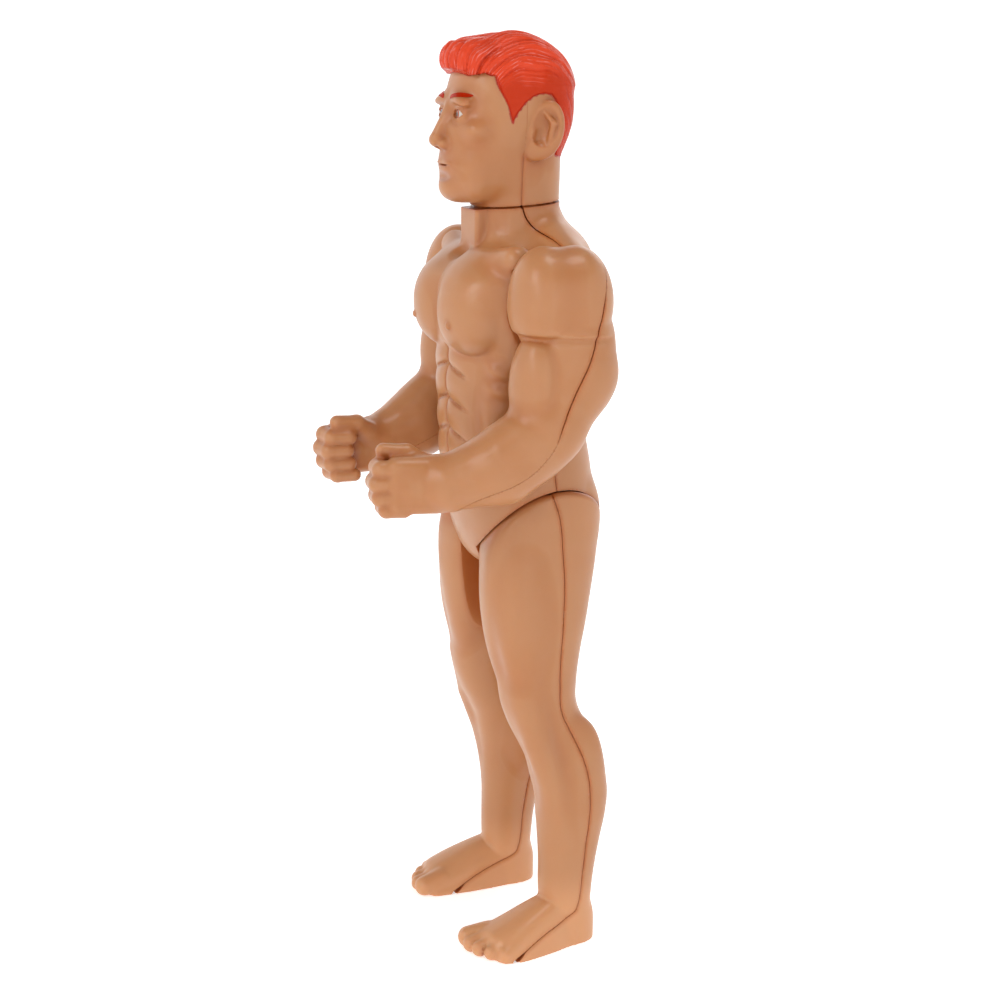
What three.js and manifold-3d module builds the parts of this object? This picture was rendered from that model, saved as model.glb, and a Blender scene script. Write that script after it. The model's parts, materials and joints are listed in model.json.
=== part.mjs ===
// A wind-up figure of moulded plastic: hollow half shells for the trunk, head, arms
// and legs, a through axle for the arms, a through pin for the legs, and a spring
// motor in the trunk that is wound by a knob in the middle of the back.
// Millimetres, +Z up, the figure faces -Y and its left side is +X.
import * as THREE from 'three';
import { mergeVertices } from 'three/addons/utils/BufferGeometryUtils.js';
import Module from 'manifold-3d';

const wasm = await Module();
wasm.setup();

// ---------------------------------------------------------------- driving dimensions
const SHIFT_Y = 4.25;            // moves the whole figure so that its box is centred on the origin
const GAP = 0.3;                 // width of a parting line between two shells
const LIMB_WALL = 1.4;           // shell wall of the arms and legs; the trunk's is 1.5
const SHOULDER = [2.5, 108.0];   // y, z of the arm axle
const HIP = [5.0, 65.0];         // y, z of the hip pin
const HIP_RADIUS = 11.3;         // top of the thigh, a disc about the hip pin
const HIP_CONE = 0.2;            // its radius grows by this much per mm of width
const CROTCH_HALF = 4.2;         // half width of the block between the thighs
const THIGH_IN = 4.5;            // inner face of each leg
const ARM_IN = 15.2;             // inner face of each arm at the shoulder
const SOCKET_RADIUS = 8.7;       // shallow seat for the shoulder in the trunk's side
const AXLE_R = 1.2;
const NECK_Z = 124.2;            // underside of the head on the figure's mid plane
const NECK_SLOPE = 0.075;        // the neck joint drops by this much per mm forwards
const NECK_GAP = 0.7;
const WIND = [0, 95.5];          // x, z of the winding arbor
const MODULE = 0.5;
const TEETH = { great: 30, secondPinion: 10, secondWheel: 20, escapePinion: 10 };
const PLATE_FRONT = [-3.6, -2.8];
const PLATE_BACK = [8.0, 8.8];
const CRANK_THROW = 1.3;         // swings the arms by 8 degrees each way

// cross sections: height, centre y, then radii from the front round the left side to the back
const TORSO_RINGS = [
  [58, 2.5, 7.0, 7.3, 8.23, 9.93, 12.14, 13.45, 13.44, 12.02, 10.4, 9.36, 9.0],
  [66, 2.5, 8.53, 8.88, 9.94, 11.75, 13.88, 15.01, 15.07, 13.81, 12.2, 11.03, 10.63],
  [70, 2.5, 9.22, 9.59, 10.69, 12.5, 14.53, 15.58, 15.72, 14.97, 13.96, 12.08, 11.46],
  [74, 2.5, 9.76, 10.6, 11.27, 12.96, 14.76, 15.6, 15.74, 15.34, 14.36, 12.45, 11.77],
  [78, 2.5, 10.26, 10.78, 11.66, 13.14, 14.46, 14.93, 14.99, 14.27, 13.25, 11.85, 11.45],
  [84, 2.5, 10.9, 11.7, 12.3, 14.2, 14.2, 13.5, 13.2, 12.6, 11.5, 10.9, 10.3],
  [90, 2.5, 11.31, 12.54, 12.84, 15.03, 14.1, 13.04, 12.59, 11.82, 11.05, 10.89, 9.71],
  [95, 2.5, 11.5, 12.4, 12.75, 14.4, 14.2, 13.8, 13.8, 13.5, 12.0, 11.0, 10.3],
  [99, 2.5, 11.8, 12.3, 13.6, 15.1, 15.0, 14.9, 15.7, 15.7, 13.7, 11.6, 10.95],
  [102.5, 2.5, 12.1, 12.6, 15.9, 18.1, 15.8, 15.8, 16.6, 16.5, 14.4, 12.2, 11.5],
  [106.5, 2.5, 12.31, 12.97, 16.63, 18.65, 16.5, 16.6, 16.8, 16.31, 14.22, 12.26, 11.7],
  [110, 2.5, 11.84, 12.26, 15.43, 17.14, 16.26, 16.67, 17.14, 15.57, 13.52, 11.76, 11.31],
  [112.5, 2.5, 10.89, 11.28, 12.51, 13.89, 15.02, 16.58, 17.84, 14.94, 12.93, 11.24, 10.47],
  [115, 2.5, 9.7, 10.02, 10.84, 11.84, 12.44, 15.85, 17.33, 14.16, 12.39, 10.47, 9.14],
  [117.5, 2.5, 8.3, 8.6, 9.3, 9.75, 9.74, 12.41, 14.57, 12.7, 11.4, 9.7, 8.5],
  [120, 2.5, 7.9, 8.2, 8.5, 8.51, 8.09, 8.65, 10.0, 9.4, 8.6, 7.8, 7.4],
  [125, 2.5, 7.8, 8.0, 8.2, 8.14, 7.6, 7.2, 7.0, 6.9, 6.8, 6.8, 6.8],
];
const HEAD_RINGS = [
  [122, 1.0, 10.2, 9.6, 8.4, 6.9, 6.77, 7.04, 7.37, 7.7, 7.83, 7.75, 7.65],
  [124.5, 1.0, 11.09, 10.35, 9.42, 7.6, 6.95, 7.05, 7.39, 7.75, 7.88, 7.81, 7.72],
  [126.5, 1.0, 11.3, 10.95, 10.43, 8.36, 7.31, 7.18, 7.43, 7.81, 7.98, 7.92, 7.83],
  [129, 1.0, 10.97, 11.01, 10.59, 8.88, 7.72, 7.39, 7.5, 7.91, 8.1, 8.05, 7.97],
  [132, 1.0, 10.95, 10.81, 10.2, 9.11, 8.24, 7.84, 7.94, 8.26, 8.43, 8.43, 8.41],
  [136, 1.0, 10.82, 10.61, 10.07, 9.43, 8.92, 8.67, 8.76, 9.08, 9.48, 9.83, 9.97],
  [139.6, 1.0, 10.8, 10.67, 10.36, 10.02, 9.77, 9.7, 9.82, 10.12, 10.51, 10.86, 11.0],
  [143, 1.0, 10.46, 10.34, 9.94, 9.41, 9.18, 9.11, 9.23, 9.51, 9.88, 10.21, 10.34],
  [145.6, 1.0, 10.42, 10.34, 9.85, 8.52, 7.88, 7.83, 7.93, 8.18, 8.5, 8.78, 8.9],
  [147.6, 1.0, 9.29, 9.12, 8.25, 6.65, 6.09, 6.06, 6.14, 6.34, 6.59, 6.82, 6.91],
  [149.2, 1.0, 6.0, 5.5, 4.4, 3.9, 3.7, 3.7, 3.8, 3.9, 4.0, 4.1, 4.2],
  [149.9, 1.0, 1.74, 1.72, 1.68, 1.64, 1.62, 1.63, 1.67, 1.74, 1.83, 1.91, 1.94],
];
// height, centre x, centre y, then radii anticlockwise from +X (left leg)
const LEG_RINGS = [
  [0, 13.9, -1.0, 3.9, 3.7, 4.84, 10.4, 10.6, 4.3, 2.67, 2.4, 3.0, 4.8, 9.6, 9.2, 8.0, 5.6],
  [1.2, 13.9, -1.0, 4.29, 4.06, 5.42, 10.77, 11.05, 4.85, 2.96, 2.67, 3.24, 5.21, 10.7, 10.1, 8.8, 6.07],
  [2.8, 13.9, -1.2, 4.8, 4.74, 6.42, 11.31, 11.57, 6.15, 3.69, 3.2, 3.72, 5.58, 10.1, 9.73, 8.65, 6.41],
  [4.6, 13.9, 0.0, 4.32, 4.61, 6.49, 10.33, 10.55, 6.87, 3.9, 3.3, 3.42, 4.5, 7.0, 8.4, 7.4, 5.02],
  [6.8, 13.8, 3.2, 3.79, 4.27, 5.8, 7.2, 7.3, 6.0, 4.17, 3.34, 3.4, 4.0, 6.0, 7.4, 5.3, 4.1],
  [9.5, 13.6, 5.8, 4.1, 4.09, 4.35, 4.7, 4.7, 4.3, 3.9, 4.0, 3.6, 3.6, 4.1, 4.5, 3.95, 3.7],
  [13, 13.5, 6.4, 3.41, 3.64, 4.03, 4.26, 4.28, 4.1, 3.72, 3.49, 3.55, 3.69, 3.72, 3.7, 3.64, 3.47],
  [18, 13.1, 6.8, 3.8, 4.0, 4.45, 4.75, 4.75, 4.45, 4.05, 3.85, 4.05, 4.5, 4.85, 4.85, 4.5, 4.0],
  [24, 12.7, 6.9, 4.5, 4.8, 5.4, 5.9, 5.95, 5.8, 5.6, 5.2, 5.0, 5.6, 6.2, 6.2, 5.5, 4.8],
  [31, 12.1, 6.4, 5.25, 5.65, 6.3, 6.62, 6.84, 7.35, 6.95, 6.2, 5.85, 6.6, 7.4, 7.25, 6.25, 5.35],
  [38, 11.4, 4.4, 5.05, 5.62, 6.66, 6.28, 6.6, 6.76, 5.73, 5.39, 5.82, 6.66, 7.21, 7.09, 6.31, 5.41],
  [44, 10.8, 2.6, 5.37, 5.49, 5.83, 6.01, 6.04, 5.9, 5.59, 5.47, 5.88, 7.39, 8.18, 7.65, 6.51, 5.77],
  [51, 10.2, 2.2, 6.1, 6.3, 6.9, 7.25, 7.25, 6.9, 6.3, 6.1, 6.7, 8.6, 8.9, 8.35, 7.3, 6.45],
  [58, 9.7, 2.4, 6.54, 6.93, 7.84, 8.57, 8.6, 7.91, 7.01, 6.62, 7.09, 8.73, 9.34, 9.05, 7.98, 6.93],
  [68, 9.0, 3.0, 6.98, 7.38, 8.35, 9.17, 9.26, 8.6, 7.68, 7.28, 7.72, 8.72, 9.45, 9.36, 8.47, 7.42],
  [81, 8.8, 3.0, 6.83, 7.27, 8.36, 9.4, 9.68, 9.15, 8.22, 7.78, 8.18, 9.04, 9.51, 9.24, 8.26, 7.23],
];
const UPPER_ARM_RINGS = [
  [87.6, 21.2, 2.6, 3.0, 3.0, 3.0, 3.1, 3.0, 3.0, 3.0, 3.1, 3.6, 3.9, 3.2, 3.0],
  [92, 21.2, 2.6, 5.2, 5.26, 6.34, 7.26, 6.04, 5.23, 5.23, 5.76, 7.31, 7.79, 6.3, 5.29],
  [96, 21.0, 2.6, 5.13, 5.79, 7.77, 8.34, 7.04, 5.58, 5.47, 6.18, 7.88, 8.49, 7.16, 5.56],
  [100, 20.6, 2.6, 5.28, 6.26, 8.04, 8.18, 6.7, 5.52, 5.43, 5.72, 6.98, 7.92, 6.97, 5.61],
  [103.5, 20.2, 2.6, 5.39, 6.04, 7.36, 7.18, 7.03, 6.59, 6.39, 6.67, 7.19, 7.0, 6.06, 5.43],
  [107.5, 19.6, 2.5, 5.91, 6.2, 7.23, 8.24, 8.04, 7.28, 6.96, 7.28, 8.04, 8.24, 7.23, 6.2],
  [111, 19.6, 2.5, 5.34, 5.69, 6.71, 7.81, 7.77, 7.11, 6.82, 7.11, 7.77, 7.81, 6.71, 5.69],
  [114, 19.4, 2.5, 4.2, 4.5, 5.3, 6.2, 6.2, 5.7, 5.5, 5.7, 6.2, 6.2, 5.3, 4.5],
  [116.6, 19.2, 2.5, 1.2, 1.3, 1.6, 2.2, 2.5, 2.5, 2.4, 2.5, 2.5, 2.2, 1.6, 1.3],
];
// distance along the forearm, then radii in the plane square to it
const ELBOW = [21.0, 1.8, 89.0], WRIST = [17.2, -15.2, 81.7];
const FOREARM_RINGS = [
  [-5.2, 2.6, 2.6, 2.6, 2.6, 2.6, 2.6, 2.6, 2.6, 2.6, 2.6],
  [-2.8, 5.0, 5.0, 5.0, 5.0, 5.0, 5.0, 5.0, 5.0, 5.0, 5.0],
  [0.5, 5.7, 5.7, 5.7, 5.7, 5.7, 5.7, 5.7, 5.7, 5.7, 5.7],
  [5, 5.95, 5.95, 5.9, 5.85, 5.8, 5.8, 5.85, 5.95, 6.0, 6.0],
  [10, 5.8, 5.8, 5.7, 5.6, 5.5, 5.5, 5.55, 5.65, 5.8, 5.8],
  [15, 4.8, 4.8, 4.8, 4.75, 4.7, 4.7, 4.7, 4.75, 4.8, 4.8],
  [19.0, 3.9, 3.9, 3.9, 3.9, 3.9, 3.9, 3.9, 3.9, 3.9, 3.9],
];
const HAND_CENTRE = [14.3, -21.0];
const HAND_RINGS = [
  [76.9, 2.8, 3.4, 4.4, 3.6, 2.0, 1.5, 2.6, 3.7, 4.4, 4.0, 3.2, 2.8],
  [78.4, 3.7, 4.6, 6.6, 5.2, 2.2, 1.7, 3.0, 4.2, 5.5, 5.1, 4.1, 3.6],
  [80.4, 4.12, 5.7, 8.6, 6.3, 2.68, 1.88, 2.6, 4.36, 6.05, 5.81, 4.23, 3.79],
  [84.0, 3.58, 4.8, 7.2, 5.4, 3.9, 2.7, 2.6, 4.6, 6.18, 5.9, 4.43, 3.54],
  [85.8, 2.2, 3.2, 4.6, 4.2, 3.4, 3.1, 3.3, 3.9, 4.9, 4.0, 3.0, 2.4],
  [87.2, 0.8, 1.2, 2.0, 2.4, 2.6, 2.6, 2.8, 3.2, 3.9, 2.6, 1.4, 1.0],
];
// the hollows inside the shells, in the same form
const TORSO_INSIDE = [
  [78, 2.5, 8.76, 9.93, 12.13, 13.43, 13.04, 11.05, 9.95],
  [84, 2.5, 9.42, 11.26, 13.06, 11.92, 11.29, 9.73, 8.77],
  [90, 2.5, 9.8, 11.74, 13.45, 11.47, 10.61, 9.55, 8.2],
  [96, 2.5, 10.07, 11.84, 12.68, 12.55, 12.63, 10.05, 8.95],
  [101, 2.5, 10.49, 11.54, 13.84, 13.95, 15.09, 11.63, 9.75],
  [106, 2.5, 10.81, 13.58, 16.76, 14.95, 15.32, 11.86, 10.22],
  [110.5, 2.5, 10.17, 11.38, 13.87, 14.96, 14.2, 10.96, 9.7],
  [113.5, 2.5, 8.91, 9.88, 12.0, 14.15, 13.49, 10.42, 8.41],
  [116.5, 2.5, 7.56, 8.29, 9.18, 10.3, 11.56, 9.08, 6.27],
  [119, 2.5, 6.85, 7.3, 7.33, 7.3, 8.04, 5.48, 4.43],
  [123, 2.5, 6.6, 6.89, 6.47, 5.58, 4.65, 3.68, 3.29],
];
const HEAD_INSIDE = [
  [123, 1.0, 3.91, 4.21, 4.83, 5.33, 5.9, 6.14, 5.97],
  [126, 1.0, 9.53, 8.77, 5.58, 5.38, 5.96, 6.26, 6.1],
  [130, 1.0, 9.04, 8.91, 6.52, 5.62, 6.08, 6.45, 6.3],
  [135, 1.0, 9.2, 8.56, 7.37, 6.68, 6.88, 7.46, 7.82],
  [140, 1.0, 8.04, 7.71, 7.21, 7.1, 7.45, 8.11, 8.49],
  [144, 1.0, 8.56, 8.13, 7.0, 6.82, 7.08, 7.62, 7.94],
  [147, 1.0, 7.05, 5.26, 4.12, 4.03, 4.2, 4.54, 4.74],
];
const LEG_INSIDE = [
  [9.5, 13.6, 6.2, 2.32, 2.55, 2.76, 2.5, 2.16, 2.39, 2.73, 2.59],
  [15, 13.4, 6.6, 2.09, 2.57, 2.97, 2.7, 2.22, 2.57, 2.72, 2.45],
  [22, 12.8, 7.0, 2.9, 3.55, 4.2, 3.55, 2.9, 3.67, 4.5, 3.67],
  [29, 12.2, 6.8, 3.83, 4.54, 5.11, 5.6, 4.86, 4.61, 6.06, 4.64],
  [36, 11.6, 5.2, 3.72, 5.1, 4.73, 5.59, 4.1, 5.18, 6.08, 4.61],
  [43, 10.9, 2.8, 3.88, 4.25, 4.52, 4.38, 4.03, 4.93, 6.52, 4.79],
  [51, 10.3, 2.2, 4.61, 5.3, 5.91, 5.44, 4.77, 6.71, 7.29, 5.61],
  [61, 9.6, 2.6, 5.18, 6.29, 7.55, 6.63, 5.54, 6.74, 7.95, 6.28],
  [71, 9.0, 3.0, 5.46, 6.61, 8.05, 7.3, 6.19, 7.33, 8.1, 6.63],
  [80, 8.9, 3.0, 5.33, 6.52, 8.19, 7.62, 6.48, 7.53, 8.02, 6.45],
];
const UPPER_ARM_INSIDE = [
  [91, 21.2, 2.6, 3.67, 3.67, 4.56, 3.67, 3.67, 4.23, 5.76, 3.75],
  [96, 21.0, 2.6, 3.72, 4.88, 6.95, 4.35, 4.03, 5.31, 7.08, 4.5],
  [100, 20.6, 2.6, 3.84, 5.56, 6.74, 4.25, 4.02, 4.55, 6.48, 4.48],
  [104, 20.2, 2.6, 3.95, 4.83, 5.56, 5.5, 5.08, 5.61, 5.62, 4.09],
  [109, 19.6, 2.5, 4.34, 5.09, 6.8, 6.28, 5.63, 6.28, 6.8, 5.09],
  [112.5, 19.5, 2.5, 3.33, 3.94, 5.51, 5.32, 4.81, 5.32, 5.51, 3.94],
  [114.6, 19.4, 2.5, 1.72, 2.09, 3.27, 3.51, 3.25, 3.51, 3.27, 2.09],
];
const FOREARM_INSIDE = [
  [-2.8, 3.4, 3.4, 3.4, 3.4, 3.4, 3.4, 3.4, 3.4],
  [0.5, 4.3, 4.3, 4.3, 4.3, 4.3, 4.3, 4.3, 4.3],
  [6, 4.5, 4.5, 4.4, 4.35, 4.3, 4.35, 4.5, 4.5],
  [11, 4.1, 4.1, 4.0, 3.9, 3.9, 3.95, 4.05, 4.1],
  [15, 3.2, 3.2, 3.2, 3.2, 3.2, 3.2, 3.2, 3.2],
];
// parting lines between the front and back shells, as y and z; each runs straight through in x
const TORSO_SEAM = [[5, 57], [5, 69], [4.0, 76], [3.6, 82], [2.5, 101], [2.5, 114], [2.0, 117], [0.6, 120], [0.2, 122], [0.2, 127]];
const HEAD_SEAM = [[0.6, 120], [0.6, 152]];
const ARM_SEAM = [[-15.6, 75], [-14.4, 78.4], [-10.6, 80.8], [-5.6, 83.3], [-2.6, 86.3], [-0.4, 91.0], [2.7, 97.5], [4.8, 101.8], [6.0, 105.8], [7.2, 111], [9.0, 118]];
const LEG_SEAM = [[-3.7, -1], [-3.7, 0.6], [-2.3, 2.6], [1.2, 5.0], [7.2, 7.4], [9.4, 11], [9.9, 15], [9.5, 27.4], [8.1, 33.8], [5.2, 40.7], [4.4, 45], [4.5, 54], [5, 62], [5, 68], [3.6, 81]];

// ---------------------------------------------------------------- solids
const V = (x, y, z) => new THREE.Vector3(x, y, z);

function solid(source) {
  let g = source.clone();
  for (const name of Object.keys(g.attributes)) if (name !== 'position') g.deleteAttribute(name);
  g = mergeVertices(g, 1e-4);
  const keep = [];
  const ix = g.index.array;
  for (let i = 0; i < ix.length; i += 3) {
    if (ix[i] !== ix[i + 1] && ix[i + 1] !== ix[i + 2] && ix[i] !== ix[i + 2]) keep.push(ix[i], ix[i + 1], ix[i + 2]);
  }
  return new wasm.Manifold(new wasm.Mesh({ numProp: 3, vertProperties: new Float32Array(g.attributes.position.array), triVerts: new Uint32Array(keep) }));
}

function geometry(m) {
  const mesh = m.getMesh();
  const g = new THREE.BufferGeometry();
  g.setAttribute('position', new THREE.BufferAttribute(new Float32Array(mesh.vertProperties), 3));
  g.setIndex(new THREE.BufferAttribute(new Uint32Array(mesh.triVerts), 1));
  g.computeVertexNormals();
  return g;
}

const union = (...list) => list.reduce((a, b) => a.add(b));

// a closed loft through rings of equal point count, listed from bottom to top, each anticlockwise from above
function loft(rings) {
  const n = rings[0].length, pos = [], index = [];
  for (const ring of rings) for (const p of ring) pos.push(p.x, p.y, p.z);
  for (let i = 0; i + 1 < rings.length; i++) {
    for (let j = 0; j < n; j++) {
      const a = i * n + j, b = i * n + (j + 1) % n, c = a + n, d = b + n;
      index.push(a, b, d, a, d, c);
    }
  }
  for (const [first, flip] of [[0, true], [(rings.length - 1) * n, false]]) {
    const c = V(0, 0, 0);
    for (let j = 0; j < n; j++) c.add(V(pos[3 * (first + j)], pos[3 * (first + j) + 1], pos[3 * (first + j) + 2]));
    c.divideScalar(n);
    const k = pos.length / 3;
    pos.push(c.x, c.y, c.z);
    for (let j = 0; j < n; j++) {
      const a = first + j, b = first + (j + 1) % n;
      if (flip) index.push(k, b, a); else index.push(k, a, b);
    }
  }
  const g = new THREE.BufferGeometry();
  g.setAttribute('position', new THREE.Float32BufferAttribute(pos, 3));
  g.setIndex(index);
  return g;
}

// full ring from radii given for one side only, mirrored in x
function symmetricRings(rows) {
  return rows.map(([z, cy, ...r]) => {
    const n = r.length, ring = [];
    for (let j = 0; j < n; j++) {
      const a = -Math.PI / 2 + Math.PI * j / (n - 1);
      ring.push(V(r[j] * Math.cos(a), cy + r[j] * Math.sin(a), z));
    }
    for (let j = n - 2; j > 0; j--) ring.push(V(-ring[j].x, ring[j].y, z));
    return ring;
  });
}

const roundRings = (rows) => rows.map(([z, cx, cy, ...r]) => r.map((q, j) => {
  const a = 2 * Math.PI * j / r.length;
  return V(cx + q * Math.cos(a), cy + q * Math.sin(a), z);
}));

function alongRings(rows, from, to) {
  const a = V(...from), axis = V(...to).sub(a).normalize();
  const e1 = V(0, 0, 1).cross(axis).normalize(), e2 = axis.clone().cross(e1);
  return rows.map(([t, ...r]) => r.map((q, j) => {
    const u = 2 * Math.PI * j / r.length;
    return a.clone().addScaledVector(axis, t).addScaledVector(e1, q * Math.cos(u)).addScaledVector(e2, q * Math.sin(u));
  }));
}

// a plane outline pushed straight through: in x from an outline in y, z; in y from an outline in x, z
function extrude(points, depth, basis, at, holes = []) {
  const shape = new THREE.Shape(points.map(([u, v]) => new THREE.Vector2(u, v)));
  for (const h of holes) shape.holes.push(new THREE.Path(h.map(([u, v]) => new THREE.Vector2(u, v))));
  const g = new THREE.ExtrudeGeometry(shape, { depth, bevelEnabled: false, steps: 1 });
  g.applyMatrix4(new THREE.Matrix4().makeBasis(...basis));
  g.translate(at.x, at.y, at.z);
  return solid(g);
}
const throughX = (points, x0, x1, holes) => extrude(points, x1 - x0, [V(0, 1, 0), V(0, 0, 1), V(1, 0, 0)], V(x0, 0, 0), holes);
const throughY = (points, y0, y1, holes) => extrude(points, y1 - y0, [V(1, 0, 0), V(0, 0, 1), V(0, -1, 0)], V(0, y1, 0), holes);

function box(x0, x1, y0, y1, z0, z1) {
  const g = new THREE.BoxGeometry(x1 - x0, y1 - y0, z1 - z0);
  g.translate((x0 + x1) / 2, (y0 + y1) / 2, (z0 + z1) / 2);
  return solid(g);
}

function circle(cu, cv, r, n, phase = 0) {
  return Array.from({ length: n }, (_, j) => [cu + r * Math.cos(phase + 2 * Math.PI * j / n), cv + r * Math.sin(phase + 2 * Math.PI * j / n)]);
}
const rodX = (y, z, r, x0, x1, n = 12) => throughX(circle(y, z, r, n, Math.PI / n), x0, x1);
const rodY = (x, z, r, y0, y1, n = 12) => throughY(circle(x, z, r, n, Math.PI / n), y0, y1);

// a turned piece: profile of radius and height about a given axis
function turned(profile, segments, basis, at) {
  const g = new THREE.LatheGeometry(profile.map(([r, h]) => new THREE.Vector2(r, h)), segments);
  // the lathe turns about its own y axis
  g.applyMatrix4(new THREE.Matrix4().makeBasis(...basis));
  g.translate(at.x, at.y, at.z);
  return solid(g);
}
const ABOUT_Y = [V(0, 0, 1), V(0, 1, 0), V(-1, 0, 0)];
const ABOUT_X = [V(0, -1, 0), V(1, 0, 0), V(0, 0, 1)];

// wall planes of a parting line: everything in front of it, or behind it
function beside(seam, side, far) {
  const half = GAP / 2, line = [];
  for (let i = 0; i < seam.length; i++) {
    const a = seam[Math.max(0, i - 1)], b = seam[Math.min(seam.length - 1, i + 1)];
    const d = new THREE.Vector2(b[0] - a[0], b[1] - a[1]).normalize();
    // square to the line, towards the back
    line.push([seam[i][0] + side * half * d.y, seam[i][1] - side * half * d.x]);
  }
  return throughX([...line, ...far], -40, 40);
}

// ---------------------------------------------------------------- shapes of the body
const hipDisc = (grow) => {
  // the thigh's round top and everything below it, from the block between the legs outwards
  const r = (x) => HIP_RADIUS + grow + HIP_CONE * (x - THIGH_IN);
  return (x0) => turned([[0, x0], [r(x0), x0], [r(22), 22], [0, 22]], 32, ABOUT_X, V(0, HIP[0], HIP[1]));
};
const mirror = (m) => m.mirror([1, 0, 0]);

// trunk
const neckCut = (offset, up) => {
  const at = (y) => NECK_Z + offset + NECK_SLOPE * y;
  return throughX(up ? [[-30, at(-30)], [30, at(30)], [30, 170], [-30, 170]] : [[-30, 40], [30, 40], [30, at(30)], [-30, at(-30)]], -30, 30);
};
function hipRoom(grow, side) {
  const x0 = CROTCH_HALF - grow + 0.25;
  let m = hipDisc(grow)(x0);
  m = m.add(box(x0, 30, -20, 25, 50, HIP[1]));
  // the belly's edge in front of the thigh is cut back so that the thigh can come forwards
  m = m.add(throughX([[-20, 60], [-1, 60], [-1, 67.6], [-20, 67.6]], x0, 30));
  return side > 0 ? m : mirror(m);
}
let trunk = solid(loft(symmetricRings(TORSO_RINGS)));
trunk = trunk.intersect(neckCut(-NECK_GAP, false)).intersect(box(-30, 30, -30, 30, 63.5, 140));
for (const side of [1, -1]) trunk = trunk.subtract(hipRoom(0.25, side));
const socket = rodX(SHOULDER[0], SHOULDER[1] + 0.4, SOCKET_RADIUS, ARM_IN - 0.4, 30, 28);
trunk = trunk.subtract(socket).subtract(mirror(socket));
const trunkInside = solid(loft(symmetricRings(TORSO_INSIDE)))
  .intersect(box(-13.2, 13.2, -30, 30, 80.5, 121.6));
trunk = trunk.subtract(trunkInside).subtract(box(-2.6, 2.6, -3.4, 9.4, 67, 82));
// columns that carry the motor
const motorCorner = [[-6.0, 87.9], [6.0, 87.9]];
for (const [x, z] of motorCorner) {
  trunk = trunk.add(rodY(x, z, 1.5, -7.2, PLATE_FRONT[0] - 1.3, 10)).add(rodY(x, z, 1.5, PLATE_BACK[1] + GAP, 10.6, 10));
}
const axleRoom = rodX(SHOULDER[0], SHOULDER[1], AXLE_R + 0.25, -20, 20);
const hipPinRoom = rodX(HIP[0], HIP[1], AXLE_R + 0.25, -20, 20);
const tilt = Math.atan(NECK_SLOPE);
const NECK_BASIS = [V(1, 0, 0), V(0, -Math.sin(tilt), Math.cos(tilt)), V(0, -Math.cos(tilt), -Math.sin(tilt))];
const NECK_AT = V(0, 1.2, NECK_Z + NECK_SLOPE * 1.2);
const neckRoom = turned([[0, -8], [3.35, -8], [3.35, 2.6], [0, 2.6]], 16, NECK_BASIS, NECK_AT);
trunk = trunk.subtract(axleRoom).subtract(hipPinRoom).subtract(neckRoom);
trunk = trunk.subtract(rodY(WIND[0], WIND[1], 1.6, 8, 20));
const trunkFront = trunk.intersect(beside(TORSO_SEAM, -1, [[-40, 130], [-40, 50]]));
const trunkBack = trunk.intersect(beside(TORSO_SEAM, 1, [[40, 130], [40, 50]]));

// head
let skull = solid(loft(symmetricRings(HEAD_RINGS))).intersect(neckCut(0, true));
const skullInside = solid(loft(symmetricRings(HEAD_INSIDE))).intersect(neckCut(1.9, true)).intersect(box(-20, 20, -20, 20, 120, 146.8));
skull = skull.subtract(skullInside).subtract(neckRoom);
const headFront = skull.intersect(beside(HEAD_SEAM, -1, [[-40, 152], [-40, 120]]));
const headBack = skull.intersect(beside(HEAD_SEAM, 1, [[40, 152], [40, 120]]));

// left arm
const armSolid = (upper, fore) => solid(loft(roundRings(upper))).add(solid(loft(alongRings(fore, ELBOW, WRIST))));
const hand = solid(loft(HAND_RINGS.map(([z, ...r]) => r.map((q, j) => {
  const a = 2 * Math.PI * j / r.length;
  return V(HAND_CENTRE[0] + q * Math.cos(a), HAND_CENTRE[1] + q * Math.sin(a), z);
}))));
let armWhole = armSolid(UPPER_ARM_RINGS, FOREARM_RINGS).add(hand).subtract(box(0, ARM_IN, -9, 20, 96, 130));
const armInside = armSolid(UPPER_ARM_INSIDE, FOREARM_INSIDE).subtract(box(0, ARM_IN + 1.6, -20, 20, 80, 130));
armWhole = armWhole.subtract(armInside).subtract(axleRoom);
const armFront = armWhole.intersect(beside(ARM_SEAM, -1, [[-40, 118], [-40, 78]]));
const armBack = armWhole.intersect(beside(ARM_SEAM, 1, [[40, 118], [40, 78]]));

// left leg
let legWhole = solid(loft(roundRings(LEG_RINGS)));
const legKeep = hipDisc(0)(THIGH_IN).add(box(THIGH_IN, 30, -20, 25, -1, HIP[1]));
legWhole = legWhole.intersect(legKeep);
const legInside = solid(loft(roundRings(LEG_INSIDE))).intersect(box(THIGH_IN + 1.5, 30, -20, 25, 10, 79))
  .intersect(hipDisc(-LIMB_WALL)(THIGH_IN).add(box(THIGH_IN, 30, -20, 25, 0, HIP[1])));
legWhole = legWhole.subtract(legInside).subtract(rodX(HIP[0], HIP[1], AXLE_R + 0.25, 0, 9));
const legFront = legWhole.intersect(beside(LEG_SEAM, -1, [[-40, 81], [-40, -1]]));
const legBack = legWhole.intersect(beside(LEG_SEAM, 1, [[40, 81], [40, -1]]));

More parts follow.
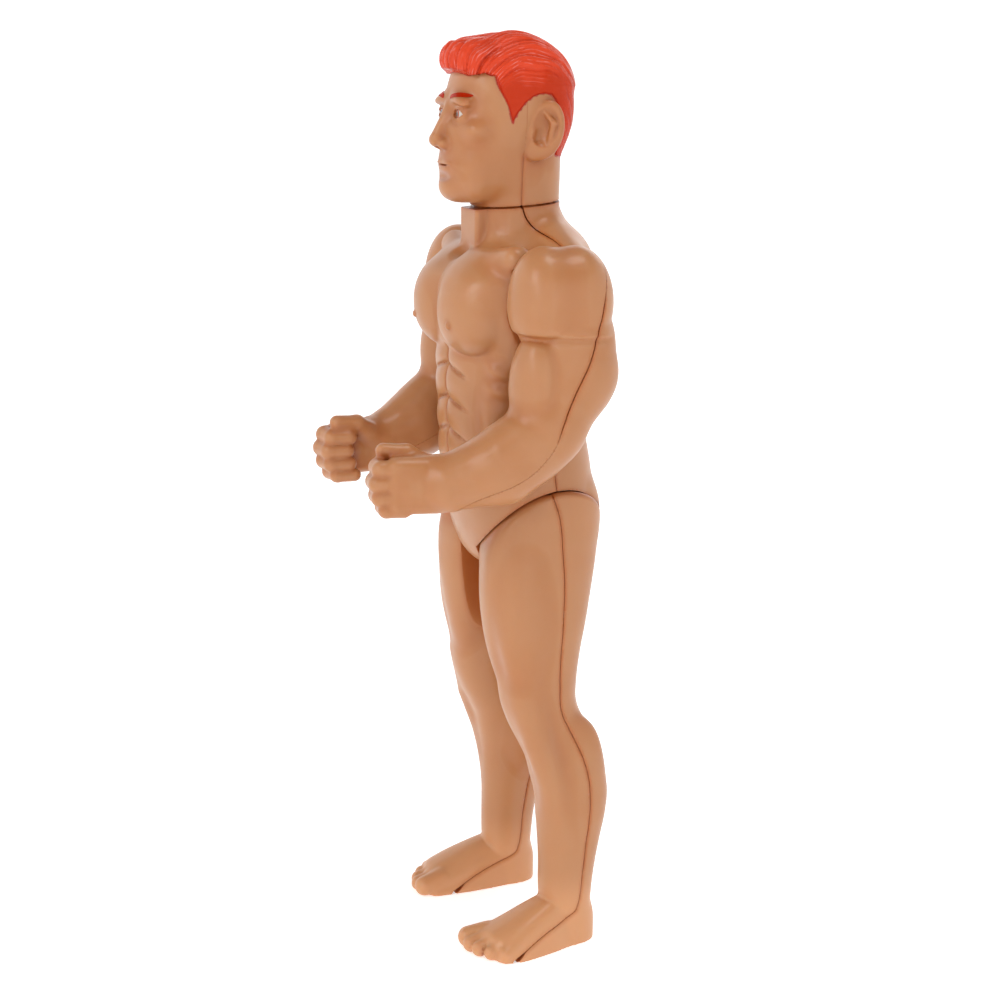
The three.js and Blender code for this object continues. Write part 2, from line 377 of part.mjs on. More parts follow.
// ---------------------------------------------------------------- axles, pins, collars
const armAxle = rodX(SHOULDER[0], SHOULDER[1], AXLE_R, -19.6, 19.6);
const hipPin = rodX(HIP[0], HIP[1], AXLE_R, -9.6, 9.6);
const collar = (y, z, x0, x1) => rodX(y, z, 2.6, x0, x1, 14).subtract(rodX(y, z, AXLE_R + 0.2, x0 - 1, x1 + 1));
const armCollar = collar(SHOULDER[0], SHOULDER[1], ARM_IN + 1.9, ARM_IN + 3.3);
const hipCollar = collar(HIP[0], HIP[1], THIGH_IN + 1.8, THIGH_IN + 3.2);
const neckPost = turned([[0, -4.5], [4.2, -4.5], [4.2, -3.2], [3.0, -3.2], [3.0, 2.4], [5.2, 2.4], [5.2, 3.8], [0, 3.8]], 16, NECK_BASIS, NECK_AT);

// ---------------------------------------------------------------- spring motor
const pitchR = (teeth) => MODULE * teeth / 2;
const AB = pitchR(TEETH.great) + pitchR(TEETH.secondPinion);
const SECOND = [5.2, WIND[1] + Math.sqrt(AB * AB - (5.2 - WIND[0]) ** 2)];
const BC = pitchR(TEETH.secondWheel) + pitchR(TEETH.escapePinion);
const BC_ANGLE = 175 * Math.PI / 180;
const ESCAPE = [SECOND[0] + BC * Math.cos(BC_ANGLE), SECOND[1] + BC * Math.sin(BC_ANGLE)];
const PALLET = [ESCAPE[0], ESCAPE[1] + 5.4];

function gearOutline(cx, cz, teeth, phase) {
  const r = pitchR(teeth), ro = r + 0.38, ri = r - 0.62, pts = [];
  for (let k = 0; k < teeth; k++) {
    const a = phase + 2 * Math.PI * k / teeth, w = Math.PI / teeth;
    for (const [rr, h] of [[ri, -0.62], [ro, -0.24], [ro, 0.24], [ri, 0.62]]) {
      pts.push([cx + rr * Math.cos(a + h * w), cz + rr * Math.sin(a + h * w)]);
    }
  }
  return pts;
}
// phase of a gear that meshes with another one, given the line of centres
function meshPhase(phase, teeth, angle, other) {
  const step = 2 * Math.PI / teeth;
  const off = (((phase - angle) % step) + step) % step;
  return angle + Math.PI - off * teeth / other + Math.PI / other;
}
const greatPhase = 0;
const angleAB = Math.atan2(SECOND[1] - WIND[1], SECOND[0] - WIND[0]);
const secondPhase = meshPhase(greatPhase, TEETH.great, angleAB, TEETH.secondPinion);
const secondWheelPhase = 0.1;
const escapePhase = meshPhase(secondWheelPhase, TEETH.secondWheel, BC_ANGLE, TEETH.escapePinion);

const windingArbor = turned([[0, -4.2], [1.0, -4.2], [1.0, -1.3], [1.2, -1.3], [1.2, 16.9], [0, 16.9]], 12, ABOUT_Y, V(WIND[0], 0, WIND[1]));
// ratchet: saw teeth on the arbor, and the click that rides on the great wheel
const ratchetOutline = [];
for (let k = 0; k < 12; k++) {
  const a = 2 * Math.PI * k / 12;
  ratchetOutline.push([WIND[0] + 3.6 * Math.cos(a), WIND[1] + 3.6 * Math.sin(a)], [WIND[0] + 2.9 * Math.cos(a + 0.06), WIND[1] + 2.9 * Math.sin(a + 0.06)]);
}
const ratchetWheel = throughY(ratchetOutline, -2.4, -1.6, [circle(WIND[0], WIND[1], 1.2, 12, Math.PI / 12)]);
const CLICK = [WIND[0] - 5.6, WIND[1] - 1.6];
const greatWheel = throughY(gearOutline(WIND[0], WIND[1], TEETH.great, greatPhase), -1.0, 0.2, [circle(WIND[0], WIND[1], 1.45, 12)])
  .add(rodY(CLICK[0], CLICK[1], 0.5, -2.4, -0.9, 8));
const click = throughY([[CLICK[0] - 0.9, CLICK[1] + 0.3], [CLICK[0] - 0.4, CLICK[1] - 0.9], [CLICK[0] + 0.7, CLICK[1] - 0.8], [CLICK[0] + 1.3, CLICK[1] + 1.9], [CLICK[0] + 0.5, CLICK[1] + 1.9]],
  -2.3, -1.5, [circle(CLICK[0], CLICK[1], 0.7, 8)]);
// the winding spring, a flat spiral between the great wheel and the back plate
function spiral(r0, r1, turns, thick, y0, y1, start) {
  const n = Math.round(turns * 14), outer = [], inner = [];
  for (let i = 0; i <= n; i++) {
    const a = start + 2 * Math.PI * turns * i / n, r = r0 + (r1 - r0) * i / n;
    outer.push([WIND[0] + (r + thick / 2) * Math.cos(a), WIND[1] + (r + thick / 2) * Math.sin(a)]);
    inner.push([WIND[0] + (r - thick / 2) * Math.cos(a), WIND[1] + (r - thick / 2) * Math.sin(a)]);
  }
  return throughY([...outer, ...inner.reverse()], y0, y1);
}
const mainspring = spiral(2.1, 6.9, 3.6, 0.45, 0.7, 3.8, -0.9);

const arborSecond = rodY(SECOND[0], SECOND[1], 0.6, -4.9, 8.6, 10);
const secondWheel = union(
  arborSecond,
  throughY(gearOutline(SECOND[0], SECOND[1], TEETH.secondPinion, secondPhase), -1.3, 0.5),
  throughY(gearOutline(SECOND[0], SECOND[1], TEETH.secondWheel, secondWheelPhase), 5.3, 6.3),
);
const crankDisc = rodY(SECOND[0], SECOND[1], 3.0, -4.9, -4.0, 18).subtract(rodY(SECOND[0], SECOND[1], 0.75, -6, -3, 10))
  .add(rodY(SECOND[0] + CRANK_THROW, SECOND[1], 0.5, -5.3, -4.5, 8));
const starOutline = [];
for (let k = 0; k < 8; k++) {
  const a = 2 * Math.PI * k / 8;
  starOutline.push([ESCAPE[0] + 3.1 * Math.cos(a), ESCAPE[1] + 3.1 * Math.sin(a)], [ESCAPE[0] + 1.7 * Math.cos(a + 0.3), ESCAPE[1] + 1.7 * Math.sin(a + 0.3)]);
}
const escapeWheel = union(
  rodY(ESCAPE[0], ESCAPE[1], 0.6, -3.9, 8.6, 10),
  throughY(gearOutline(ESCAPE[0], ESCAPE[1], TEETH.escapePinion, escapePhase), 5.3, 6.5),
  throughY(starOutline, 6.4, 7.3),
);
// governor pallet: an anchor that rocks above the star wheel, its two arms just outside the star's tips
const P = PALLET;
const pallet = throughY([[P[0] - 1.2, P[1] + 1.2], [P[0] - 4.6, P[1] - 2.4], [P[0] - 4.5, P[1] - 4.2], [P[0] - 3.7, P[1] - 4.2], [P[0] - 2.9, P[1] - 2.2], [P[0] - 0.6, P[1] - 1.2],
  [P[0] + 0.6, P[1] - 1.2], [P[0] + 2.9, P[1] - 2.2], [P[0] + 3.7, P[1] - 4.2], [P[0] + 4.5, P[1] - 4.2], [P[0] + 4.6, P[1] - 2.4], [P[0] + 1.2, P[1] + 1.2]], 6.4, 7.3)
  .add(rodY(P[0], P[1], 0.55, 5.6, 8.6, 10));

// motor frame
const pillars = [...motorCorner, [-7.4, 104.6]];
const plateHoles = (r) => [
  circle(WIND[0], WIND[1], 1.4, 12), circle(SECOND[0], SECOND[1], r, 10), circle(ESCAPE[0], ESCAPE[1], r, 10),
  ...pillars.map(([x, z]) => circle(x, z, 0.9, 8)),
];
const frontPlate = throughY([[-7.4, 86.4], [7.4, 86.4], [9.0, 92], [9.0, 101], [7.4, 105.9], [-6, 106.2], [-8.8, 106.2], [-9.0, 92]], ...PLATE_FRONT, plateHoles(0.85));
const backPlate = throughY([[-6.9, 86.8], [6.9, 86.8], [7.7, 92], [8.6, 98], [8.8, 103], [6.5, 106.4], [1.6, 108.2], [0.2, 112], [-4.8, 112], [-6.4, 106.2], [-8.8, 106.2], [-8.6, 98], [-7.7, 92]], ...PLATE_BACK,
  [...plateHoles(0.85), circle(P[0], P[1], 0.8, 10)]);
const pillar = ([x, z]) => rodY(x, z, 1.2, PLATE_FRONT[1] + 0.2, PLATE_BACK[0] - 0.2, 10);
const screw = ([x, z]) => union(rodY(x, z, 1.35, PLATE_FRONT[0] - 1.0, PLATE_FRONT[0] - 0.15, 12), rodY(x, z, 0.65, PLATE_FRONT[0] - 0.3, PLATE_FRONT[1] + 0.1, 8));

// arm drive: a rocker fixed on the axle, with a slot in front of the crank pin
const rocker = (() => {
  const [y, z] = SHOULDER, x0 = SECOND[0] - 1.5, x1 = SECOND[0] + 1.5;
  let m = rodX(y, z, 2.0, x0, x1, 16);
  m = m.add(throughX([[y + 0.4, z + 2.0], [-7.0, z + 1.6], [-7.0, z - 3], [-6.3, z - 3], [-6.3, z + 0.9], [y - 0.6, z + 1.2]], x0, x1));
  const [u, v] = SECOND, w = CRANK_THROW + 1.5, h = 1.5;
  m = m.add(throughY([[u - w, v - h], [u + w, v - h], [u + w, v + h], [u - w, v + h]], -7.0, -6.3,
    [[[u - w + 0.8, v - 0.75], [u + w - 0.8, v - 0.75], [u + w - 0.8, v + 0.75], [u - w + 0.8, v + 0.75]]]));
  return m.subtract(rodX(y, z, AXLE_R + 0.2, x0 - 1, x1 + 1));
})();

// knob: a round finger knob with shallow flutes, on the arbor's end
const knob = (() => {
  const n = 14, outline = [];
  for (let k = 0; k < n; k++) {
    const a = 2 * Math.PI * k / n, b = Math.PI / n;
    outline.push([WIND[0] + 5.4 * Math.cos(a - 0.5 * b), WIND[1] + 5.4 * Math.sin(a - 0.5 * b)], [WIND[0] + 5.4 * Math.cos(a + 0.5 * b), WIND[1] + 5.4 * Math.sin(a + 0.5 * b)], [WIND[0] + 4.95 * Math.cos(a + b), WIND[1] + 4.95 * Math.sin(a + b)]);
  }
  let m = throughY(outline, 14.3, 18.4);
  const shape = turned([[0, 14.3], [4.7, 14.3], [5.5, 15.0], [5.5, 17.4], [4.6, 18.4], [0, 18.4]], 28, ABOUT_Y, V(WIND[0], 0, WIND[1]));
  return m.intersect(shape).subtract(rodY(WIND[0], WIND[1], 1.4, 14, 17.1, 12));
})();

// ---------------------------------------------------------------- the assembly
const group = new THREE.Group();
const finish = {
  skin: { color: 0xc98f68, roughness: 0.34, metalness: 0 },
  hair: { color: 0xc9502e, roughness: 0.34, metalness: 0 },
  steel: { color: 0xb9bbbd, roughness: 0.3, metalness: 1 },
  brass: { color: 0xc9a24e, roughness: 0.35, metalness: 1 },
  nylon: { color: 0xe6e2d6, roughness: 0.5, metalness: 0 },
  spring: { color: 0x7f8a96, roughness: 0.28, metalness: 1 },
};
function piece(name, m, look) {
  const mesh = new THREE.Mesh(geometry(m), new THREE.MeshStandardMaterial(finish[look]));
  mesh.name = name;
  mesh.position.y = SHIFT_Y;
  group.add(mesh);
}
piece('torso_front_shell', trunkFront, 'skin');
piece('torso_back_shell', trunkBack, 'skin');
piece('head_front_shell', headFront, 'skin');
piece('head_back_shell', headBack, 'hair');
piece('neck_post', neckPost, 'nylon');
for (const [side, flip] of [['left', false], ['right', true]]) {
  const m = (s) => (flip ? mirror(s) : s);
  piece(`arm_${side}_front_shell`, m(armFront), 'skin');
  piece(`arm_${side}_back_shell`, m(armBack), 'skin');
  piece(`leg_${side}_front_shell`, m(legFront), 'skin');
  piece(`leg_${side}_back_shell`, m(legBack), 'skin');
  piece(`arm_collar_${side}`, m(armCollar), 'steel');
  piece(`hip_collar_${side}`, m(hipCollar), 'steel');
}
piece('arm_axle', armAxle, 'steel');
piece('arm_rocker', rocker, 'nylon');
piece('hip_pin', hipPin, 'steel');
piece('wind_knob', knob, 'nylon');
piece('winding_arbor', windingArbor, 'steel');
piece('ratchet_wheel', ratchetWheel.subtract(rodY(WIND[0], WIND[1], 1.25, -3, 0, 12)), 'steel');
piece('click', click, 'steel');
piece('great_wheel', greatWheel, 'brass');
piece('mainspring', mainspring, 'spring');
piece('second_wheel', secondWheel, 'brass');
piece('crank_disc', crankDisc, 'nylon');
piece('escape_wheel', escapeWheel, 'brass');
piece('governor_pallet', pallet, 'steel');
piece('motor_front_plate', frontPlate, 'steel');
piece('motor_back_plate', backPlate, 'steel');
pillars.forEach((p, i) => {
  piece(`motor_pillar_${i + 1}`, pillar(p), 'steel');
  piece(`motor_screw_${i + 1}`, screw(p), 'brass');
});

export default group;
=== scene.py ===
import json, math
import bpy, bmesh
import numpy as np
from mathutils import Vector, Matrix


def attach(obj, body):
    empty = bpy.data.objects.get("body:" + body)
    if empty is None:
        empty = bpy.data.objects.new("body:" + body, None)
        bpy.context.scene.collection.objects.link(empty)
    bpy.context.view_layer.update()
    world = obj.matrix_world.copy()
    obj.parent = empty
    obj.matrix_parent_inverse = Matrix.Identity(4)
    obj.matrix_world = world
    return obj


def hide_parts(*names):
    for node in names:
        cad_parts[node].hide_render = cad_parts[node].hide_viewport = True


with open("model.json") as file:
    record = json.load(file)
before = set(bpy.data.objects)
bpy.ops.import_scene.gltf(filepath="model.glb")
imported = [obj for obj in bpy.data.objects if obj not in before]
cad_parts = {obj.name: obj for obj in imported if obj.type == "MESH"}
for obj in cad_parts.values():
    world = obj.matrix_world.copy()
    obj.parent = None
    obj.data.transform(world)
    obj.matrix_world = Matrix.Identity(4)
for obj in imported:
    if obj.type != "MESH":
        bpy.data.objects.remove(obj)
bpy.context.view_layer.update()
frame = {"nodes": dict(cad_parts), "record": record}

# Shapes are worked out in millimetres about the figure's own axis, which is SHIFT_Y in front of the row frame's.
MM, SHIFT_Y = 0.001, 4.25
FINE = 1.0
F32 = np.float32

# ------------------------------------------------------------------ fields
def smin(a, b, k):
    h = np.clip(0.5 + 0.5 * (b - a) / k, 0, 1)
    return b * (1 - h) + a * h - k * h * (1 - h)

def smax(a, b, k):
    return -smin(-a, -b, k)

def rotm(rx=0, ry=0, rz=0):
    rx, ry, rz = np.radians([rx, ry, rz])
    cx, sx, cy, sy, cz, sz = np.cos(rx), np.sin(rx), np.cos(ry), np.sin(ry), np.cos(rz), np.sin(rz)
    X = np.array([[1, 0, 0], [0, cx, -sx], [0, sx, cx]])
    Y = np.array([[cy, 0, sy], [0, 1, 0], [-sy, 0, cy]])
    Z = np.array([[cz, -sz, 0], [sz, cz, 0], [0, 0, 1]])
    return Z @ Y @ X

def local(p, c, rot):
    x, y, z = p[0] - F32(c[0]), p[1] - F32(c[1]), p[2] - F32(c[2])
    if rot is None: return x, y, z
    R = rotm(*rot).T.astype(F32)
    return tuple(R[k, 0] * x + R[k, 1] * y + R[k, 2] * z for k in range(3))

def ell(p, c, r, rot=None):
    x, y, z = local(p, c, rot)
    a, b, e = F32(1 / r[0]), F32(1 / r[1]), F32(1 / r[2])
    x, y, z = x * a, y * b, z * e
    k0 = np.sqrt(x * x + y * y + z * z)
    x, y, z = x * a, y * b, z * e
    k1 = np.sqrt(x * x + y * y + z * z)
    return k0 * (k0 - 1) / np.maximum(k1, F32(1e-6))

def sell(p, c, r, n, rot=None):
    """A squarer ellipsoid: n is 2 for a plain one."""
    x, y, z = local(p, c, rot)
    q = (abs(x / F32(r[0])) ** F32(n) + abs(y / F32(r[1])) ** F32(n) + abs(z / F32(r[2])) ** F32(n)) ** F32(1 / n)
    rho = np.sqrt(x * x + y * y + z * z)
    return np.where(q > 1e-3, rho * (1 - 1 / np.maximum(q, F32(1e-3))), F32(-min(r)))

def rcone(p, a, b, r1, r2):
    a, b = np.array(a, float), np.array(b, float)
    d = b - a
    x, y, z = p[0] - F32(a[0]), p[1] - F32(a[1]), p[2] - F32(a[2])
    d2 = (d / (d @ d)).astype(F32); d = d.astype(F32)
    t = np.clip(x * d2[0] + y * d2[1] + z * d2[2], 0, 1)
    x, y, z = x - t * d[0], y - t * d[1], z - t * d[2]
    return np.sqrt(x * x + y * y + z * z) - (F32(r1) + F32(r2 - r1) * t)

def rbox(p, c, h, r, rot=None):
    x, y, z = local(p, c, rot)
    qx, qy, qz = abs(x) - F32(h[0] - r), abs(y) - F32(h[1] - r), abs(z) - F32(h[2] - r)
    out = np.sqrt(np.maximum(qx, 0) ** 2 + np.maximum(qy, 0) ** 2 + np.maximum(qz, 0) ** 2)
    return out + np.minimum(np.maximum(np.maximum(qx, qy), qz), 0) - F32(r)

def spline(zs, vs):
    zs, vs = np.array(zs, float), np.array(vs, float)
    o = np.argsort(zs); zs, vs = zs[o], vs[o]
    m = np.gradient(vs, zs)
    def f(z):
        z = np.clip(z, zs[0], zs[-1])
        i = np.clip(np.searchsorted(zs, z) - 1, 0, len(zs) - 2)
        h = zs[i + 1] - zs[i]
        t = (z - zs[i]) / h
        return ((2 * t**3 - 3 * t**2 + 1) * vs[i] + (t**3 - 2 * t**2 + t) * h * m[i] + (-2 * t**3 + 3 * t**2) * vs[i + 1] + (t**3 - t**2) * h * m[i + 1])
    return f

_tables = {}
def curve(key, zs, vs):
    """A curve over height, tabled finely so that looking it up is quick."""
    if key not in _tables:
        g = spline(zs, vs)
        at = np.arange(-6, 156, 0.02)
        _tables[key] = g(at).astype(F32)
    tab = _tables[key]
    return lambda z: tab[np.clip((z + F32(6)) * F32(50), 0, len(tab) - 1).astype(np.int32)]

def column(p, tab, key, n=2.4):
    """Its section at height z is a superellipse: tab rows are z, centre x, half width, front y, back y."""
    z = p[2]
    zs = [r[0] for r in tab]
    cx, a, yf, yb = [curve((key, k), zs, [r[k] for r in tab])(z) for k in range(1, 5)]
    cy, b = (yf + yb) / 2, (yb - yf) / 2
    x, y = p[0] - cx, p[1] - cy
    q = ((abs(x) / a) ** F32(n) + (abs(y) / b) ** F32(n)) ** F32(1 / n)
    rho = np.sqrt(x * x + y * y)
    return np.where(q > 1e-3, rho * (1 - 1 / np.maximum(q, F32(1e-3))), -np.minimum(a, b))

def step(a, b, v):
    t = np.clip((v - a) / (b - a), 0, 1)
    return t * t * (3 - 2 * t)

def seam_side(key, seam):
    """Signed distance from a parting line, which runs straight through in X: negative in front of it."""
    zs, ys = [s[1] for s in seam], [s[0] for s in seam]
    g = spline(zs, ys)
    at = np.arange(-6, 156, 0.02)
    v = g(at)
    slope = np.gradient(v, at)
    _tables[key] = v.astype(F32); _tables[key + "'"] = (1 / np.sqrt(1 + slope * slope)).astype(F32)
    def f(p):
        i = np.clip((p[2] + F32(6)) * F32(50), 0, len(at) - 1).astype(np.int32)
        return (p[1] - _tables[key][i]) * _tables[key + "'"][i]
    return f

def polygon(y, z, pts):
    """Signed distance from a closed outline, negative inside."""
    pts = np.array(pts, float)
    d2 = np.full(np.shape(y), 1e9, F32)
    inside = np.zeros(np.shape(y), bool)
    for i in range(len(pts)):
        a, b = pts[i], pts[(i + 1) % len(pts)]
        e = b - a
        wy, wz = y - F32(a[0]), z - F32(a[1])
        t = np.clip((wy * F32(e[0]) + wz * F32(e[1])) / F32(e @ e), 0, 1)
        d2 = np.minimum(d2, (wy - t * F32(e[0])) ** 2 + (wz - t * F32(e[1])) ** 2)
        if a[1] != b[1]:
            cross = ((a[1] > z) != (b[1] > z)) & (y < (b[0] - a[0]) * (z - a[1]) / (b[1] - a[1]) + a[0])
            inside ^= cross
    d = np.sqrt(d2)
    return np.where(inside, -d, d)

def rounded(pts, times=2):
    pts = [np.array(p, float) for p in pts]
    for _ in range(times):
        pts = [q for i in range(len(pts)) for q in (0.75 * pts[i] + 0.25 * pts[(i + 1) % len(pts)], 0.25 * pts[i] + 0.75 * pts[(i + 1) % len(pts)])]
    return pts

# ------------------------------------------------------------------ proportions of the figure (mm)
TORSO = [
    (60, 0, 13.5, -2.0, 11.5), (63, 0, 14.3, -3.8, 12.4), (66, 0, 15.0, -5.4, 13.2), (69, 0, 15.5, -6.5, 13.8), (72, 0, 15.7, -7.3, 14.2), (76, 0, 15.4, -8.2, 14.5),
    (80, 0, 14.5, -9.0, 14.4), (85, 0, 13.4, -9.6, 13.7), (90, 0, 13.0, -9.75, 12.8), (95, 0, 13.8, -9.85, 13.0), (98, 0, 14.6, -9.7, 13.3), (100, 0, 15.2, -9.4, 13.6), (102, 0, 15.7, -10.0, 13.9),
    (105, 0, 16.3, -10.5, 14.2), (109, 0, 16.6, -10.4, 14.2), (112, 0, 15.8, -9.5, 13.9), (114.4, 0, 13.2, -7.6, 12.9), (116.5, 0, 10.2, -5.5, 11.6), (118.5, 0, 8.4, -4.5, 10.4),
    (120.5, 0, 7.5, -4.4, 9.6), (122.2, 0, 7.2, -4.4, 9.2), (124, 0, 7.4, -4.5, 9.4)]
LEG = [
    (82, 8.3, 7.3, 3.0, 13.3), (79, 8.3, 7.3, -1.0, 13.5), (76, 8.4, 7.3, -3.9, 13.6), (74, 8.5, 7.3, -5.2, 13.6), (72, 8.6, 7.2, -6.2, 13.6), (70, 8.7, 7.2, -6.8, 13.4), (68, 8.8, 7.1, -7.15, 13.1), (65, 9.1, 7.0, -7.2, 12.6), (60, 9.5, 6.7, -6.7, 11.7), (55, 9.9, 6.4, -5.6, 10.7),
    (51, 10.2, 6.0, -4.7, 9.8), (46, 10.6, 5.6, -4.2, 9.0), (42, 10.9, 5.3, -3.7, 8.9), (38, 11.2, 5.2, -2.3, 10.4), (35, 11.4, 5.2, -0.8, 11.9), (32.5, 11.7, 5.1, 0.3, 13.0),
    (29, 12.1, 5.0, 1.1, 13.9), (26, 12.5, 4.8, 1.7, 14.2), (22, 12.6, 4.7, 2.0, 13.8), (18, 12.85, 4.2, 2.2, 12.9), (14, 13.1, 4.0, 2.3, 12.0),
    (10, 13.1, 3.9, 2.3, 11.45), (6, 13.1, 3.9, 2.5, 11.1), (0, 13.1, 3.8, 2.8, 10.9)]
FOOT = [
    (-11.5, 13.4, 4.4, 2.0), (-9, 13.9, 5.0, 3.1), (-6, 14.3, 5.5, 4.5), (-3, 14.3, 5.7, 5.8), (0, 14.0, 5.4, 7.1), (3, 13.7, 4.9, 8.2), (6, 13.3, 4.3, 8.6), (9, 13.1, 3.8, 7.4), (11, 13.0, 3.4, 5.6), (13, 13.0, 3.0, 3.6)]
HIP = (5.0, 65.0)
SHOULDER = (2.5, 108.0)
ARM_IN, THIGH_IN, NECK_Z, NECK_SLOPE = 15.2, 4.5, 122.9, 0.075
HIP_R = 11.0
TORSO_SEAM = seam_side("torso_seam", [(5, 57), (5, 69), (4.0, 76), (3.6, 82), (2.5, 101), (2.8, 110), (4.4, 115.6), (4.1, 117.4), (2.0, 119.8), (1.2, 121.2), (0.8, 122.7), (0.4, 127)])
ARM_SEAM = seam_side("arm_seam", [(-15.6, 75), (-14.4, 78.4), (-10.6, 80.8), (-5.6, 83.3), (-2.6, 86.3), (-0.4, 91.0), (2.7, 97.5), (4.8, 101.8), (6.0, 105.8), (7.2, 111), (9.0, 118)])
LEG_SEAM = seam_side("leg_seam", [(-5.2, -1), (-4.6, 0.4), (-3.6, 1.2), (1.0, 3.5), (5.3, 5.0), (7.0, 5.9), (7.7, 7.2), (8.1, 9.0), (8.4, 12.5), (8.9, 17), (9.5, 25), (9.1, 29.7), (8.1, 33.2), (6.3, 37.4), (4.7, 41), (4.3, 46), (4.7, 56), (4.9, 62), (4.6, 68), (4.0, 74), (2.8, 78), (2.0, 82)])
HEAD_SEAM = lambda p: p[1] - F32(0.6)

def belly(m):
    """A middle line and creases that run down and outwards, with soft pillows between them."""
    ax, y, z = m
    mid = step(101.2, 99.8, z) * step(76.5, 80.5, z)
    fade = 1 - step(4.0, 8.6, ax)
    d = (F32(0.42) * np.exp(-(ax / F32(0.34)) ** 2) + F32(0.40) * np.exp(-(ax / F32(1.5)) ** 2)) * mid - F32(0.25)
    for z0, k in ((97.6, 1.0), (92.2, 1.0), (87.2, 0.9), (81.8, 0.35)):
        t = z - F32(z0) + F32(0.27) * ax
        d = d + F32(k) * (F32(0.40) * np.exp(-(t / F32(0.32)) ** 2) + F32(0.42) * np.exp(-(t / F32(1.15)) ** 2)) * fade
    d = d + F32(0.17) * np.exp(-((ax - F32(8.8) + F32(0.07) * (F32(100) - z)) / F32(1.4)) ** 2) * step(100.5, 98.5, z) * step(74, 82, z)
    return d * step(-1.5, -4.5, y)

def torso(p):
    x, y, z = p
    m = (abs(x), y, z)
    d = column(p, TORSO, "torso", 2.15)
    # neck to shoulder, the flat front of the neck and the hollow of the throat
    d = smin(d, rcone(m, (2.6, 5.4, 118.6), (12.6, 5.6, 112.8), 4.2, 5.0), 1.6)
    d = smin(d, ell(m, (6.0, 8.2, 113.6), (6.6, 4.6, 5.4), (0, 24, 0)), 2.0)
    d = smin(d, rcone(m, (3.0, -5.9, 113.2), (13.2, -2.6, 114.9), 1.5, 2.4), 1.8)
    d = smin(d, rbox(p, (0, -1.1, 119.0), (3.35, 4.45, 6.5), 0.40), 0.4)
    d = smax(d, -ell(p, (0, -8.1, 115.6), (2.7, 2.7, 1.8)), 0.9)
    d = d + belly(m)
    # chest: broad slabs that run into the shoulder above and end in a crisp lower edge
    top = F32(0.30) + F32(3.0) * step(105.5, 113.0, z)
    d = smin(d, sell(m, (5.7, -4.0, 106.6), (7.9, 8.45, 7.9), 2.3, (0, 0, 10)), top)
    d = smin(d, ell(m, (10.3, -2.2, 105.0), (4.1, 6.1, 5.3)), F32(0.5) + F32(1.6) * step(103.0, 108.0, z))
    d = smin(d, ell(m, (7.6, -12.02, 104.6), (0.60, 0.50, 0.60)), 0.22)
    # back: shoulder blades, the long muscles by the spine and the waist
    d = smin(d, ell(m, (7.6, 7.6, 103.5), (8.2, 6.9, 10.5), (0, 6, 0)), 1.4)
    d = smin(d, ell(m, (7.4, 10.0, 107.0), (4.6, 4.6, 6.4), (0, 14, 8)), 0.8)
    d = smin(d, ell(m, (3.1, 9.8, 90), (2.9, 3.8, 13)), 0.9)
    d = smax(d, -rcone(p, (0, 15.9, 113), (0, 15.2, 80), 1.5, 1.5), 1.2)
    # flanks and ribs
    d = smin(d, ell(m, (9.9, -1.3, 88.5), (3.2, 5.6, 9), (8, -4, 12)), 1.8)
    for k, (xx, yy, zz) in enumerate(((10.8, -4.0, 97.6), (10.5, -3.9, 94.6), (10.1, -3.6, 91.6))):
        d = smin(d, ell(m, (xx, yy, zz), (2.4, 2.7, 1.4), (0, 20, 34)), 1.2)
    d = smin(d, ell(m, (6.4, 9.8, 73.2), (6.4, 4.6, 7.4)), 1.0)
    return smax(d, F32(63.5) - z + F32(0.05) * x * x, 2.4)

def torso_cuts(p):
    """The rooms for the legs, the arms and the head, the pin holes and the hole for the winding shaft: positive where
    the trunk is.
    """
    x, y, z = p
    ax = abs(x)
    hip = np.sqrt((y - F32(HIP[0])) ** 2 + (z - F32(HIP[1])) ** 2) - (F32(HIP_R + 0.2) + F32(0.2) * (ax - F32(THIGH_IN)))
    room = np.minimum(hip * F32(0.98), z - F32(65.0))
    room = np.minimum(room, np.maximum(y + F32(1.0), z - F32(67.6)))
    room = np.maximum(room, F32(4.2) - ax)
    sock = np.maximum(np.sqrt((y - F32(2.5)) ** 2 + (z - F32(108.4)) ** 2) - F32(8.7), F32(14.8) - ax)
    cut = np.maximum(-room, -sock)
    # the neck's top, with a raised middle under the head so that the ring line is shallow
    e = np.sqrt((x / F32(7.4)) ** 2 + ((y - F32(2.25)) / F32(7.1)) ** 2)
    cut = smax(cut, (z - F32(NECK_SLOPE) * y - F32(NECK_Z - 0.36) - F32(0.28) * (e < 0.90)) * F32(0.997), F32(0.16))
    cut = np.maximum(cut, F32(1.45) - np.sqrt((y - F32(SHOULDER[0])) ** 2 + (z - F32(SHOULDER[1])) ** 2))
    cut = np.maximum(cut, F32(1.45) - np.sqrt((y - F32(HIP[0])) ** 2 + (z - F32(HIP[1])) ** 2))
    cut = np.maximum(cut, -np.maximum(np.sqrt(x * x + (z - F32(95.5)) ** 2) - F32(1.6), F32(8) - y))
    t = F32(math.atan(NECK_SLOPE)); cy, cz = y - F32(1.2), z - F32(124.29)
    return np.maximum(cut, -np.maximum(np.sqrt(x * x + (cy * np.cos(t) + cz * np.sin(t)) ** 2) - F32(3.35), F32(114) - z))

